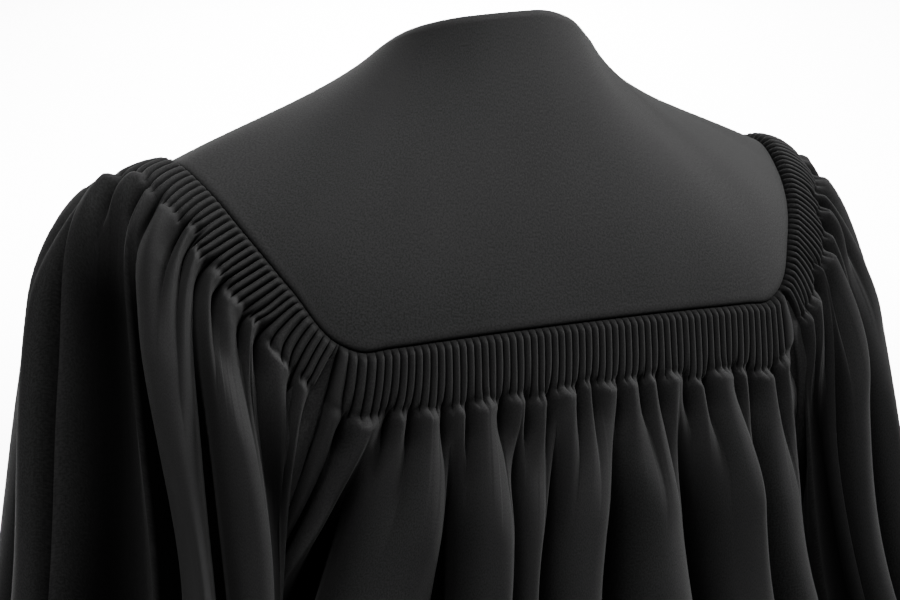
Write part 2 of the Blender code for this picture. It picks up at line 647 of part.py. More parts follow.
def main():
    cloth = make_material("black_cloth", BLACK_CLOTH, 0.85, 0.0)
    metal = make_material("dark_metal", DARK_METAL, 0.4, 0.8)
    back_places = np.concatenate([
        evenly_along_edge(-SHOULDER_SEAM, -CORNER - 1.0, np.linspace(0, 1, 12)[:-1]),
        np.linspace(-CORNER - 1.0, -CORNER + 1.0, 15)[:-1],
        evenly_along_edge(-CORNER + 1.0, CORNER - 1.0, np.linspace(0, 1, 14)[:-1]),
        np.linspace(CORNER - 1.0, CORNER + 1.0, 15)[:-1],
        evenly_along_edge(CORNER + 1.0, SHOULDER_SEAM, np.linspace(0, 1, 12)),
    ])
    front_places = np.concatenate([
        evenly_along_edge(SHOULDER_SEAM + SHOULDER_GAP, FRONT_CORNER - 1.0, np.linspace(0, 1, 9)[:-1]),
        np.linspace(FRONT_CORNER - 1.0, FRONT_CORNER + 1.0, 13)[:-1],
        evenly_along_edge(FRONT_CORNER + 1.0, FRONT_EDGE, np.linspace(0, 1, 9)),
    ])
    yoke_piece("yoke_back", back_places, cloth)
    yoke_grid = yoke_piece("yoke_front_left", front_places, cloth)
    yoke_piece("yoke_front_right", -front_places, cloth)

    back_arms, back_grid = body_panel("back_panel", BACK_LAYOUT, -CORNER, CORNER, LEFT, (-1.0, 1.0),
                                      (0, -1), cloth)
    for side, label, back_arm in ((LEFT, "left", back_arms[1]), (RIGHT, "right", back_arms[0])):
        front_arms, front_grid = body_panel("front_" + label, FRONT_LAYOUT, FRONT_CORNER * side,
                                            FRONT_EDGE * side, side, (1.0, FRONT_EDGE_SHARE), (0,), cloth)
        sleeve("sleeve_" + label, side, back_arm, front_arms[0], cloth)
    points, along, off = zip_line(yoke_grid, front_grid)
    zip_tape(points, off, cloth)
    zip_slider_and_pull(points, along, off, metal)


for leftover in list(bpy.data.objects):
    bpy.data.objects.remove(leftover)
gown = bpy.data.collections.new("graduation_gown")
guides = bpy.data.collections.new("guides")
for collection in (gown, guides):
    bpy.context.scene.collection.children.link(collection)
main()
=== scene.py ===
"""The look of a worn graduation gown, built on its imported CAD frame.

The cloth is made again from the CAD model's own sizes, as thin shells with finer flutes, folds and seams.
Metres, +Z up. The wearer faces -Y and the wearer's left is +X.
"""
import math
from collections import namedtuple

import bpy
import numpy as np
from mathutils import Matrix, Vector


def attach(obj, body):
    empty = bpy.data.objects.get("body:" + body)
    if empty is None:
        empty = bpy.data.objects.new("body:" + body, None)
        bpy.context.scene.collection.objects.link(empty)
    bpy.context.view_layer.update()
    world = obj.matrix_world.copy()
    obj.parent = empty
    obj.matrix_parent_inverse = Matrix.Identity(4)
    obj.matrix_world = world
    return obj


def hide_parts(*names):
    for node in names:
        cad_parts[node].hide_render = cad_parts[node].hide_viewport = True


# Flutes
FLUTE_HEIGHT = 0.0046
BODY_COLUMNS_A_FLUTE = 10
SLEEVE_COLUMNS_A_FLUTE = 8

# Neck edge: its height goes with the turn from the back, in degrees
NECK_HALF_WIDTH = 0.076
NECK_HALF_DEPTH = 0.068
NECK_ROUNDNESS = 2.0 / 2.1
NECK_FULLNESS = 0.9
SEAM_FULLNESS = 1.1
YOKE_SOFTNESS = 0.040
YOKE_SLOPE = 0.34
NeckEdge = namedtuple("NeckEdge", "turn height fall right_drop")
NECK_EDGES = [
    NeckEdge(0, 0.036, 72, 0.0), NeckEdge(20, 0.035, 70, 0.005), NeckEdge(40, 0.032, 66, 0.016),
    NeckEdge(60, 0.025, 53, 0.018), NeckEdge(90, 0.004, 28, 0.009), NeckEdge(120, -0.018, 38, 0.006),
    NeckEdge(150, -0.058, 52, 0.002), NeckEdge(180, -0.090, 62, 0.0),
]

# The yoke's lower edge, from the centre back round the wearer's left to the centre front. The cloth
# leaves it towards heading, in degrees from the back, and slopes down by fall.
Station = namedtuple("Station", "name neck_turn x y z heading fall")
YOKE_STATIONS = [
    Station("back_centre", 0, 0.000, 0.118, -0.143, 0, 82),
    Station("back_quarter", 24, 0.080, 0.116, -0.144, 4, 82),
    Station("back_side", 39, 0.127, 0.1128, -0.1455, 7, 82),
    Station("back_end", 45, 0.146, 0.110, -0.146, 12, 80),
    Station("back_corner", 50, 0.157, 0.106, -0.141, 32, 74),
    Station("blade", 58, 0.178, 0.088, -0.110, 56, 60),
    Station("shoulder_back", 68, 0.193, 0.068, -0.083, 68, 38),
    Station("shoulder_rise", 79, 0.203, 0.045, -0.061, 78, 10),
    Station("shoulder_top", 92, 0.210, 0.015, -0.046, 90, 2),
    Station("shoulder_front", 104, 0.207, -0.020, -0.055, 98, 4),
    Station("chest_side", 118, 0.197, -0.058, -0.083, 112, 28),
    Station("chest_low", 128, 0.178, -0.088, -0.118, 130, 64),
    Station("front_corner", 134, 0.161, -0.101, -0.137, 152, 76),
    Station("front_end", 139, 0.149, -0.106, -0.142, 168, 80),
    Station("front_side", 145, 0.127, -0.110, -0.143, 172, 81),
    Station("front_quarter", 160, 0.078, -0.117, -0.144, 176, 82),
    Station("front_edge", 177.4, 0.0035, -0.122, -0.144, 180, 84),
]
RIGHT_SHOULDER_DROP = 0.017

# Steps for measuring along the edge, and distances on it in stations
EDGE_STEPS = 2000
ARRIVAL_STEPS = 900
EDGE_REACH = 0.02
SHOULDER_GAP = 0.02

# Level sections of the body below the arms. Even is how evenly the cloth is spread round it.
BodyLevel = namedtuple("BodyLevel", "name z half_width back_depth front_depth even")
BODY_LEVELS = [
    BodyLevel("underarm", -0.330, 0.205, 0.150, 0.140, 0.0),
    BodyLevel("thigh", -0.850, 0.290, 0.232, 0.200, 0.7),
    BodyLevel("hem", -1.280, 0.370, 0.300, 0.255, 1.0),
]
BODY_ROUNDNESS = 2.0 / 2.5
SIDE_SEAM_Y = 0.004

# Level sections of the left sleeve below the arm. Its front and back wrap towards the body.
SleeveLevel = namedtuple("SleeveLevel", "name z centre_x centre_y half_width half_depth wrap")
SLEEVE_LEVELS = [
    SleeveLevel("elbow", -0.400, 0.281, 0.008, 0.055, 0.126, 0.050),
    SleeveLevel("cuff", -0.700, 0.378, 0.004, 0.076, 0.170, 0.030),
]
SLEEVE_BACK_TURN = -36.0
SLEEVE_FRONT_TURN = 216.0

# Folds, each fed by a few flutes, and plain stretches. Cloth is what a fold takes up flat, width is at
# the level under the arms, and crest is where the fold's top lies across it.
Fold = namedtuple("Fold", "flutes cloth width depth crest")
Plain = namedtuple("Plain", "flutes columns seam width depth")
SIDE = Plain(1, 16, 0.0055, 0.080, 0.0)
CORNER_FOLD = Plain(3, 24, 0.0165, 0.045, 0.016)
FRONT_BAND = Plain(0, 10, 0.028, 0.034, 0.0)
BACK_LAYOUT = [
    Plain(1, 16, 0.0055, 0.108, 0.0), Fold(6, 0.10, 0.055, 0.022, 0.40), Fold(13, 0.22, 0.0675, 0.024, 0.38),
    Fold(9, 0.16, 0.0635, 0.023, 0.45), Fold(8, 0.14, 0.045, 0.021, 0.42), Fold(6, 0.10, 0.024, 0.018, 0.45),
    Fold(9, 0.16, 0.045, 0.022, 0.40), Fold(10, 0.16, 0.090, 0.024, 0.30), Plain(3, 24, 0.0165, 0.028, 0.012),
    Plain(1, 16, 0.0055, 0.047, 0.0),
]
FRONT_LAYOUT = [
    SIDE, CORNER_FOLD, Fold(4, 0.08, 0.034, 0.018, 0.45), Fold(4, 0.08, 0.032, 0.018, 0.55),
    Fold(4, 0.08, 0.034, 0.019, 0.45), Fold(4, 0.08, 0.032, 0.016, 0.55), FRONT_BAND,
]
SLEEVE_LAYOUT = [
    Fold(8, 0.10, 0.032, -0.005, 0.50), Fold(9, 0.12, 0.033, 0.018, 0.50), Fold(12, 0.18, 0.044, 0.021, 0.40),
    Fold(6, 0.06, 0.040, -0.013, 0.50), Fold(5, 0.06, 0.025, 0.015, 0.50), Fold(9, 0.12, 0.056, 0.009, 0.50),
    Fold(9, 0.12, 0.051, 0.009, 0.50), Fold(9, 0.12, 0.051, 0.008, 0.50),
]
# Flutes that gather into each small fold just below the fluting
BACK_GATHERS = [3, 4, 2.5, 5, 3, 4.5, 2.5, 3.5, 4, 2, 4.5, 3, 3.5, 5]
SIDE_GATHERS = [3, 4, 2.5, 4.5, 3, 3.5, 2.5, 5, 2]
USUAL_GATHER = 3.0
LARGE_ROUNDNESS = 0.72
SMALL_ROUNDNESS = 0.85
FLUTE_ROUNDNESS = 0.46
LARGE_LEAN = 0.14
VALLEY_SINK = 0.010
VALLEY_SHARPNESS = 4
VALLEY_SHARE = 0.20
VALLEY_WIDENS = (0.03, 0.15)

# What the small folds differ by: each is drawn between two values
SMALL_CRESTS = (0.34, 0.66)
HOOK_TURNS = (-1.2, 1.2)
SMALL_FOLD_LATE = (-0.004, 0.004)
SMALL_FOLD_LENGTHS = (0.45, 1.5)
BACK_SEED = 3
FRONT_SEED = 11
SLEEVE_SEED = 20

# Slow waves over the cloth. Across and down are their turns on a whole piece and on a metre down it.
Ripple = namedtuple("Ripple", "height across down start")
SWELLING = Ripple(0.2, 5.3, 3.1, 0.3)
WANDERS = [Ripple(0.003, 3.1, 2.3, 0.2), Ripple(0.0018, 7.3, -3.7, 0.55)]
WANDER_SIDES = 4.0

# Distances down the cloth from the yoke's seam, or below the flutes' ends
FLUTE_START = -0.001
FLUTE_RISE = 0.0045
BACK_FLUTE_ENDS = (0.0375, 0.0310)
FRONT_FLUTE_ENDS = (0.034, 0.034)
SLEEVE_FLUTE_ENDS = (0.027, 0.027)
FLUTE_END_JITTER = 0.0012
FLUTE_FADE = (-0.002, 0.007)
FOLD_FULL = 0.085
WANDER_FULL = 0.12
SMALL_FOLD_RISE = 0.007
SMALL_FOLD_DEPTH = 0.0082
SMALL_FOLD_HELD = 0.012
SMALL_FOLD_GONE = 0.095
HOOK = 0.0014
HOOK_PLACE = 0.003
HOOK_LENGTH = 0.006
PIT = 0.0080
POCKET_PLACE = 0.014
POCKET_LENGTH = 0.014
SQUARE_TO = 0.026
SQUARE_GONE = 0.052
SQUARE_CORNER = 0.030
SQUARE_EVENS = (0.06, 0.35)
SQUARE_STEPS = 200
CAD_TOP_ROWS = [0.0, 0.006, 0.037, 0.050]
CAD_ARMHOLE_SHARES = [0.30, 0.65, 1.0]

# How far a column carries on from the yoke, and arrives at the level under the arms
LEFT_SLEEVE_LEAVES = 0.85
RIGHT_SLEEVE_LEAVES = 0.60
SLEEVE_ARRIVES = 1.40
SLEEVE_CORNER_LEAVES = (0.66, 0.0, -0.75)
SLEEVE_CORNER_WIDTH = 0.060
ARMHOLE_LEAVES = (0.35, 0.0, -0.94)
ARMHOLE_ARRIVAL = (0.25, 1.0, -0.35)
ARMHOLE_WIDTH = 0.115
SEAM_GAP = 0.0003
SLEEVE_SEAM_MARGIN = 0.0015
FRONT_EDGE_SHARE = 0.012
ARM_LEAN_FROM = 0.1
ARM_BLEND_TO = 0.35
ARM_INNER_COLUMNS = 8
ARM_SEAM_EASE = 0.001
ARM_CLOTH_WIDTH = 0.25
ARM_CLOTH_GAP = 0.002

# Rows of cloth: those above the arms are closest near the yoke
NEAR_YOKE = 0.060
Rows = namedtuple("Rows", "near_step far_step length below")
BODY_ROWS = Rows(0.0016, 0.004, 0.19, (27, 19))
SLEEVE_ROWS = Rows(0.0018, 0.006, 0.36, (17,))
PATH_STEPS = 49
SECTION_STEPS = 1441

# Seams and edges
RIM_HEIGHT = 0.0001
RIM_WIDTH = 0.010
SEAM_TUCK = 0.0009
SEAM_TUCK_WIDTH = 0.0016
SEAM_ALLOWANCE = 0.006
EDGE_TURN = 0.0015
HEM_TURN = 0.030
HEM_ROWS = 4
SEAM_ROWS = 2
NECK_TURN = (0.018, 0.009, 0.002)
YOKE_RIM_START = 0.86
YOKE_ROWS = (34, 26)
YOKE_BACK_COLUMNS = 420
YOKE_FRONT_COLUMNS = 200
YOKE_LINE_STEPS = 40

# Stitches and teeth: sizes are length, width and height
STITCH_SIZE = (0.0024, 0.0006, 0.0006)
STITCH_PITCH = 0.0031
STITCH_SUNK = 0.0003
TOOTH_SIZE = (0.0034, 0.0011, 0.0006)
TOOTH_PITCH = 0.0021
TOOTH_OFFSET = 0.0006
TOOTH_DEPTH = 0.0009
ZIP_START = 0.008
ZIP_FOOT = -0.90
SLIDER_LENGTH = 0.012

# Painted shade darkening the cloth in its grooves, seams, valleys and gaps, from 0 in the open to 1, and the
# share of colour that the deepest painted shade keeps
GROOVE_SHADE = 1.6
SUNK_FOLD_SHADE_SPREAD = 0.5
VALLEY_SHADE_SPREAD = 1.6
GAP_SHADE_SPREAD = 0.8
SMALL_FOLD_SHADE = 0.6
SEAM_SHADE = 0.85
SEAM_SHADE_WIDTH = 0.006
YOKE_SEAM_SHADE = 0.4
YOKE_SEAM_SHADE_WIDTH = 0.0015
PAINTED_SHADE_KEEPS = 0.06

# Colours
WHITE = (1.0, 1.0, 1.0, 1.0)
CLOTH_DARK = (0.0086, 0.0086, 0.0087, 1.0)
CLOTH_LIGHT = (0.0162, 0.0162, 0.0163, 1.0)
THREAD_DARK = (0.008, 0.008, 0.008, 1.0)
THREAD_LIGHT = (0.016, 0.016, 0.016, 1.0)
METAL = (0.03, 0.03, 0.032, 1.0)
FLOOR = (0.9, 0.9, 0.9, 1.0)

# Camera
IMAGE_WIDTH = 900
IMAGE_HEIGHT = 600
CAMERA_TURN = 33.0
CAMERA_RISE = 10.5
CAMERA_DISTANCE = 2.0
FOCAL_PIXELS = 3300.0
ORIGIN_AT = (470, 60)
SENSOR_WIDTH = 36.0
CLIP_END = 200.0

# Studio
FLOOR_SIZE = 120.0
FLOOR_HEIGHT = -1.32
WORLD_STRENGTH = 0.24
LIGHT_SPREAD = 100.0
Lamp = namedtuple("Lamp", "name place aim size power")
LAMPS = [
    Lamp("key", (-1.7, 0.5, 1.65), (0, 0, -0.15), (1.0, 1.0), 58.0),
    Lamp("top", (0.9, 1.1, 2.5), (0, 0, -0.1), (1.6, 1.6), 46.0),
    Lamp("front_fill", (0.4, -3.2, 1.4), (0, 0, -0.4), (2.4, 2.4), 40.0),
    Lamp("floor_light", (-6.0, -9.2, 3.4), (-5.999, -9.1985, -1.3), (6.0, 14.0), 5500.0),
]

# Fields for a cloth piece's flat size and how it is held, which no piece is given here
Sheet = namedtuple("Sheet", "width length held")

# Sides, and places on the yoke's edge counted in stations
LEFT = 1
RIGHT = -1
STATION_NAMES = [station.name for station in YOKE_STATIONS]
CORNER = STATION_NAMES.index("back_corner")
SHOULDER_SEAM = STATION_NAMES.index("shoulder_top") + 0.5
FRONT_CORNER = STATION_NAMES.index("front_corner")
FRONT_EDGE = STATION_NAMES.index("front_edge")
MIDDLE = len(YOKE_STATIONS) - 1


def unit(vectors):
    return vectors / np.maximum(np.linalg.norm(vectors, axis=-1, keepdims=True), 1e-12)


def ramp(values, start, stop):
    """0 up to start and 1 from stop on, with a smooth rise between."""
    share = np.clip((np.asarray(values, float) - start) / (stop - start), 0.0, 1.0)
    return share * share * (3.0 - 2.0 * share)


def hermite(start, start_pull, end, end_pull, share):
    square = share * share
    cube = square * share
    return ((2 * cube - 3 * square + 1) * start + (cube - 2 * square + share) * start_pull
            + (3 * square - 2 * cube) * end + (cube - square) * end_pull)


def distance_along(points):
    steps = np.linalg.norm(np.diff(points, axis=0), axis=-1)
    return np.concatenate([np.zeros_like(steps[:1]), np.cumsum(steps, axis=0)])


def smooth_columns(table, values):
    """The table's other columns, read smoothly at values of its first one."""
    knots, columns = table[:, 0], table[:, 1:]
    steps = np.diff(knots)[:, None]
    rates = np.diff(columns, axis=0) / steps
    between = (rates[:-1] * steps[1:] + rates[1:] * steps[:-1]) / (steps[1:] + steps[:-1])
    slopes = np.concatenate([np.zeros_like(rates[:1]), between, np.zeros_like(rates[:1])])
    below = np.clip(np.searchsorted(knots, values, side="right") - 1, 0, len(steps) - 1)
    step = steps[below]
    share = (values - knots[below])[:, None] / step
    above = below + 1
    return hermite(columns[below], slopes[below] * step, columns[above], slopes[above] * step, share).T


def stations_all_round():
    """The yoke's stations from the right front edge, past the back, to the left front edge."""
    left = np.array([station[1:] for station in YOKE_STATIONS], float)
    right = left[:0:-1] * np.array([-1, -1, 1, 1, -1, 1])
    top = YOKE_STATIONS[STATION_NAMES.index("shoulder_top")].z
    right[:, 3] -= RIGHT_SHOULDER_DROP * ramp(right[:, 3], YOKE_STATIONS[CORNER].z, top)
    return np.vstack([right, left])


ALL_STATIONS = stations_all_round()


def through(stations, places):
    """A smooth curve through the stations, read at places from 0 to the last station."""
    steps = np.linalg.norm(np.diff(stations[:, 1:4], axis=0), axis=1)[:, None]
    rates = np.diff(stations, axis=0) / steps
    between = (rates[:-1] * steps[1:] + rates[1:] * steps[:-1]) / (steps[1:] + steps[:-1])
    slopes = np.concatenate([rates[:1], between, rates[-1:]])
    places = np.clip(np.asarray(places, float), 0.0, len(stations) - 1.0)
    below = np.minimum(places.astype(int), len(stations) - 2)
    step = steps[below]
    return hermite(stations[below], slopes[below] * step, stations[below + 1], slopes[below + 1] * step,
                   (places - below)[:, None])


def compass(heading, fall):
    """Unit directions from headings off the back and slopes below level, in degrees."""
    heading, fall = np.radians(np.broadcast_arrays(heading, fall))
    return np.stack([np.sin(heading) * np.cos(fall), np.cos(heading) * np.cos(fall), -np.sin(fall)], -1)


def yoke_edge(places):
    """Points, leaving directions and outward normals on the yoke's edge, and the neck's turns."""
    places = np.asarray(places, float) + MIDDLE
    values = through(ALL_STATIONS, places)
    ahead = through(ALL_STATIONS, places + EDGE_REACH)
    behind = through(ALL_STATIONS, places - EDGE_REACH)
    leaving = compass(values[:, 4], values[:, 5])
    normals = unit(np.cross(ahead[:, 1:4] - behind[:, 1:4], leaving))
    return values[:, 1:4], leaving, normals, values[:, 0]


def evenly_along_edge(start, stop, shares):
    """Places on the yoke's edge at shares of the distance between two places."""
    places = np.linspace(start, stop, EDGE_STEPS)
    run = distance_along(yoke_edge(places)[0])
    return np.interp(shares, run / run[-1], places)


def edge_length_between(start, stop):
    return distance_along(yoke_edge(np.linspace(start, stop, EDGE_STEPS))[0])[-1]


def yoke_arrival(places):
    """The yoke's directions at its lower edge, averaged along it to lie smooth inside the corners."""
    stretch = np.linspace(-FRONT_EDGE, FRONT_EDGE, ARRIVAL_STEPS)
    edge, leaving = yoke_edge(stretch)[:2]
    run = distance_along(edge)
    here = np.interp(places, stretch, run)
    weights = np.exp(-((here[:, None] - run) / YOKE_SOFTNESS) ** 2) * np.gradient(run)
    return unit(weights @ leaving / weights.sum(axis=1, keepdims=True) - [0.0, 0.0, YOKE_SLOPE])


def yoke_surface(places, shares):
    """Points on the yoke: rows from the neck to the lower edge, columns round the body."""
    seams, _, _, turns = yoke_edge(places)
    height, fall, right_drop = smooth_columns(np.array(NECK_EDGES, float), np.abs(turns))
    height = height - right_drop * (turns < 0)
    across, back = np.sin(np.radians(turns)), np.cos(np.radians(turns))
    x = NECK_HALF_WIDTH * np.sign(across) * np.abs(across) ** NECK_ROUNDNESS
    y = NECK_HALF_DEPTH * np.sign(back) * np.abs(back) ** NECK_ROUNDNESS
    necks = np.stack([x, y, height], axis=-1)
    span = np.linalg.norm(seams - necks, axis=1, keepdims=True)
    neck_pull = compass(turns, fall) * span * NECK_FULLNESS
    seam_pull = yoke_arrival(places) * span * SEAM_FULLNESS
    return np.stack([hermite(necks, neck_pull, seams, seam_pull, share) for share in shares])


def grid_normals(grid, closed=False):
    if closed:
        across = np.roll(grid, -1, axis=1) - np.roll(grid, 1, axis=1)
    else:
        across = np.gradient(grid, axis=1)
    return unit(np.cross(across, np.gradient(grid, axis=0)))


Layout = namedtuple("Layout", "seam width cloth flute depth phase crest")


def lay_out(stretches, edge_length, columns_a_flute):
    """Columns for a run of folds: shares of the seam, of the level below the arms and of the cloth.

    Flute counts the flutes passed, and phase runs from 0 to 1 over a fold.
    """
    flutes = sum(stretch.flutes for stretch in stretches if isinstance(stretch, Fold))
    plain = sum(stretch.seam for stretch in stretches if isinstance(stretch, Plain))
    pitch = (edge_length - plain) / flutes
    columns = [(0.0, 0.0, 0.0, 0.0, 0.0, 0.0, 0.5)]
    for stretch in stretches:
        fluted = isinstance(stretch, Fold)
        count = columns_a_flute * stretch.flutes if fluted else stretch.columns
        seam_width = stretch.flutes * pitch if fluted else stretch.seam
        cloth_width = stretch.cloth if fluted else stretch.width
        crest = stretch.crest if fluted else 0.5
        seam, width, cloth, passed = columns[-1][:4]
        for column in range(1, count + 1):
            share = column / count
            columns.append((seam + share * seam_width, width + share * stretch.width,
                            cloth + share * cloth_width, passed + share * stretch.flutes,
                            stretch.depth, share, crest))
    layout = np.array(columns).T
    layout[:3] /= layout[:3, -1:]
    return Layout(*layout)


def body_section(level, back, shares):
    """Points on a half section of the body, at shares from -1 at the right seam to 1 at the left one."""
    depth = level.back_depth if back else -level.front_depth
    seam_y = SIDE_SEAM_Y + (SEAM_GAP / 2 if back else -SEAM_GAP / 2)
    angle = np.linspace(-math.pi / 2, math.pi / 2, SECTION_STEPS)
    x = level.half_width * np.sign(angle) * np.abs(np.sin(angle)) ** BODY_ROUNDNESS
    y = seam_y + (depth - seam_y) * np.abs(np.cos(angle)) ** BODY_ROUNDNESS
    run = distance_along(np.stack([x, y], axis=-1))
    wanted = (np.asarray(shares) + 1.0) / 2.0 * run[-1]
    return np.stack([np.interp(wanted, run, x), np.interp(wanted, run, y), np.full(len(wanted), level.z)], -1)


def sleeve_section(level, turns, side):
    angle = np.radians(turns)
    x = level.centre_x + level.half_width * np.sin(angle) - level.wrap * np.cos(angle) ** 2
    y = level.centre_y + level.half_depth * np.cos(angle)
    return np.stack([side * x, y, np.full_like(x, level.z)], axis=-1)


def falling(starts, leaving, arriving, sections, leave_share, arrive_share, shares):
    """Rows of smooth columns of cloth, from their starts down through the sections."""
    rows = []
    above, pull = starts, leaving * leave_share
    for index, section in enumerate(sections):
        length = np.linalg.norm(section - above, axis=1, keepdims=True)
        last = index + 1 == len(sections)
        down = unit(section - sections[index - 1]) if last else unit(sections[index + 1] - section)
        arrival = arriving * arrive_share if index == 0 else down
        path = np.stack([hermite(above, pull * length, section, arrival * length, share)
                         for share in np.linspace(0.0, 1.0, PATH_STEPS)])
        run = distance_along(path)
        wanted = shares[index][:, None] * run[-1]
        block = np.empty((len(wanted), len(starts), 3))
        for column in range(len(starts)):
            for axis in range(3):
                block[:, column, axis] = np.interp(wanted[:, column], run[:, column], path[:, column, axis])
        rows.append(block)
        above, pull = section, down
    return np.concatenate(rows)


def skewed(phase, crest):
    """The phase, moved so that its middle falls at crest."""
    return np.where(phase < crest, 0.5 * phase / crest, 0.5 + 0.5 * (phase - crest) / (1.0 - crest))


SmallFolds = namedtuple("SmallFolds", "height size phase hook late gone")


def small_folds(layout, gathers, rng):
    """The small folds just below the fluting, column by column. Late is how far each starts below it."""
    total = layout.flute[-1]
    sizes = np.array(gathers, float)
    while sizes.sum() < total:
        sizes = np.concatenate([sizes, gathers])
    ends = np.concatenate([[0.0], np.cumsum(sizes)])
    ends = np.concatenate([ends[ends < total - 1.0], [total]])
    which = np.clip(np.searchsorted(ends, layout.flute, side="right") - 1, 0, len(ends) - 2)
    phase = np.clip((layout.flute - ends[which]) / (ends[which + 1] - ends[which]), 0.0, 1.0)
    crest, hook, late, length = [rng.uniform(low, high, len(ends))[which] for low, high in
                                 (SMALL_CRESTS, HOOK_TURNS, SMALL_FOLD_LATE, SMALL_FOLD_LENGTHS)]
    height = np.sin(np.pi * skewed(phase, crest)) ** SMALL_ROUNDNESS
    size = np.sqrt((ends[which + 1] - ends[which]) / USUAL_GATHER)
    return SmallFolds(height, size, phase, hook, late, SMALL_FOLD_GONE * length)


def ripple(shape, layout, down):
    """A slow wave over the cloth, at distances down it."""
    return shape.height * np.sin(2 * np.pi * (shape.across * layout.width + shape.down * down + shape.start))


def large_folds(layout, down, end):
    """Heights of the large folds and the painted shade that darkens their valleys and the sunk folds."""
    valley = VALLEY_SHARE * ramp(down, *VALLEY_WIDENS)
    before_valley = np.clip(layout.phase / (1.0 - valley), 0.0, 1.0)
    raised = layout.depth > 0
    wave = np.sin(np.pi * skewed(np.where(raised, before_valley, layout.phase), layout.crest))
    risen = ramp(down, end, end + FOLD_FULL)
    swelling = 1.0 + ripple(SWELLING, layout, down)
    sinking = VALLEY_SINK * (1.0 - wave) ** VALLEY_SHARPNESS * raised
    height = (layout.depth * swelling * wave ** LARGE_ROUNDNESS - sinking) * risen
    # Painted shade: darkest in the valleys beside the raised folds and over the whole of each sunk fold
    painted_valley_shade = np.where(layout.depth < 0, wave ** SUNK_FOLD_SHADE_SPREAD, (1.0 - wave) ** VALLEY_SHADE_SPREAD * raised) * risen
    return height, painted_valley_shade


def relief(layout, down, gathers, ends, rng):
    """Heights of the folds and flutes on a grid of distances down the cloth, their sideways lean, and
    the painted shade that darkens the cloth's colour in its hollows, from 0 to 1. Ends are where the flutes
    end at either side."""
    flute = np.floor(np.minimum(layout.flute, layout.flute[-1] - 0.001)).astype(int)
    end = ends[0] + (ends[1] - ends[0]) * layout.seam
    end = end + rng.uniform(-1, 1, flute.max() + 1)[flute] * FLUTE_END_JITTER
    folds = small_folds(layout, gathers, rng)
    end = end + folds.late
    gathered = np.gradient(layout.flute) > 0
    rounded = np.abs(np.sin(np.pi * layout.flute)) ** FLUTE_ROUNDNESS
    faded = ramp(down, end + FLUTE_FADE[0], end + FLUTE_FADE[1])
    fluted = ramp(down, FLUTE_START, FLUTE_RISE) * (1.0 - faded)
    flutes = FLUTE_HEIGHT * rounded * fluted

    large, painted_valley_shade = large_folds(layout, down, end)
    from_side = np.clip(WANDER_SIDES * np.minimum(layout.width, 1.0 - layout.width), 0.0, 1.0)
    spread = from_side * ramp(down, end, end + WANDER_FULL)
    wander = spread * sum(ripple(shape, layout, down) for shape in WANDERS)

    gone = ramp(down, end + SMALL_FOLD_HELD, end + folds.gone)
    risen_small = ramp(down, end, end + SMALL_FOLD_RISE) * (1.0 - gone)
    small = SMALL_FOLD_DEPTH * folds.size * folds.height * risen_small
    pocket = gathered * np.exp(-((down - end - POCKET_PLACE) / POCKET_LENGTH) ** 2)
    pits = -PIT * (1.0 - folds.height) * pocket
    near_hook = np.exp(-((down - end - HOOK_PLACE) / HOOK_LENGTH) ** 2)
    hooks = HOOK * folds.hook * np.sin(np.pi * folds.phase) * near_hook

    # Painted shade: dark lines in the grooves between the flutes, a dark band along the seam, and dark gaps
    # between the small folds and in the pockets below the flutes
    painted_groove_shade = gathered * (1.0 - rounded) * fluted * GROOVE_SHADE
    painted_seam_shade = SEAM_SHADE * (1.0 - ramp(down, 0.0, SEAM_SHADE_WIDTH))
    painted_gap_zone = np.maximum(pocket * (down > end), SMALL_FOLD_SHADE * risen_small * gathered)
    between = (1.0 - folds.height) ** GAP_SHADE_SPREAD * painted_gap_zone
    painted_shade = np.maximum(np.maximum(painted_groove_shade, painted_seam_shade), np.maximum(painted_valley_shade, between))
    return (large + small + pits + flutes, hooks + wander - LARGE_LEAN * large * (large > 0),
            np.clip(painted_shade, 0.0, 1.0))


def row_shares(rows):
    """Shares of each section's length. The first section's are close together near the yoke."""
    near = np.arange(0.0, NEAR_YOKE, rows.near_step)
    far = np.linspace(NEAR_YOKE, rows.length, int((rows.length - NEAR_YOKE) / rows.far_step))
    below = [np.linspace(0.0, 1.0, count)[1:] for count in rows.below]
    return [np.concatenate([near, far]) / rows.length] + below


def tuck(distance):
    """How far the cloth dips into a seam at a distance from it."""
    return -SEAM_TUCK * (1.0 - ramp(distance, 0.0, SEAM_TUCK_WIDTH)) ** 2


def turned_in(grid, facing, depth):
    """Extra rows that turn the last row of the cloth in and back up as a hem."""
    up = unit(grid[-4] - grid[-1])
    extra = []
    for row in range(1, HEM_ROWS + 1):
        share = row / HEM_ROWS
        inward = EDGE_TURN * min(1.0, 2.0 * share)
        extra.append(grid[-1] - facing[-1] * inward + up * depth * max(0.0, share - 1.0 / HEM_ROWS))
    return np.concatenate([grid, np.array(extra)])


def tucked_under(grid, facing, leaving):
    """Extra rows above the first one, which carry the cloth in behind the seam."""
    inward = grid[0] - facing[0] * EDGE_TURN
    return np.concatenate([[inward - leaving * SEAM_ALLOWANCE, inward], grid])


def linked(name, mesh, material):
    mesh.materials.append(material)
    piece = bpy.data.objects.new(name, mesh)
    bpy.context.scene.collection.objects.link(piece)
    return piece


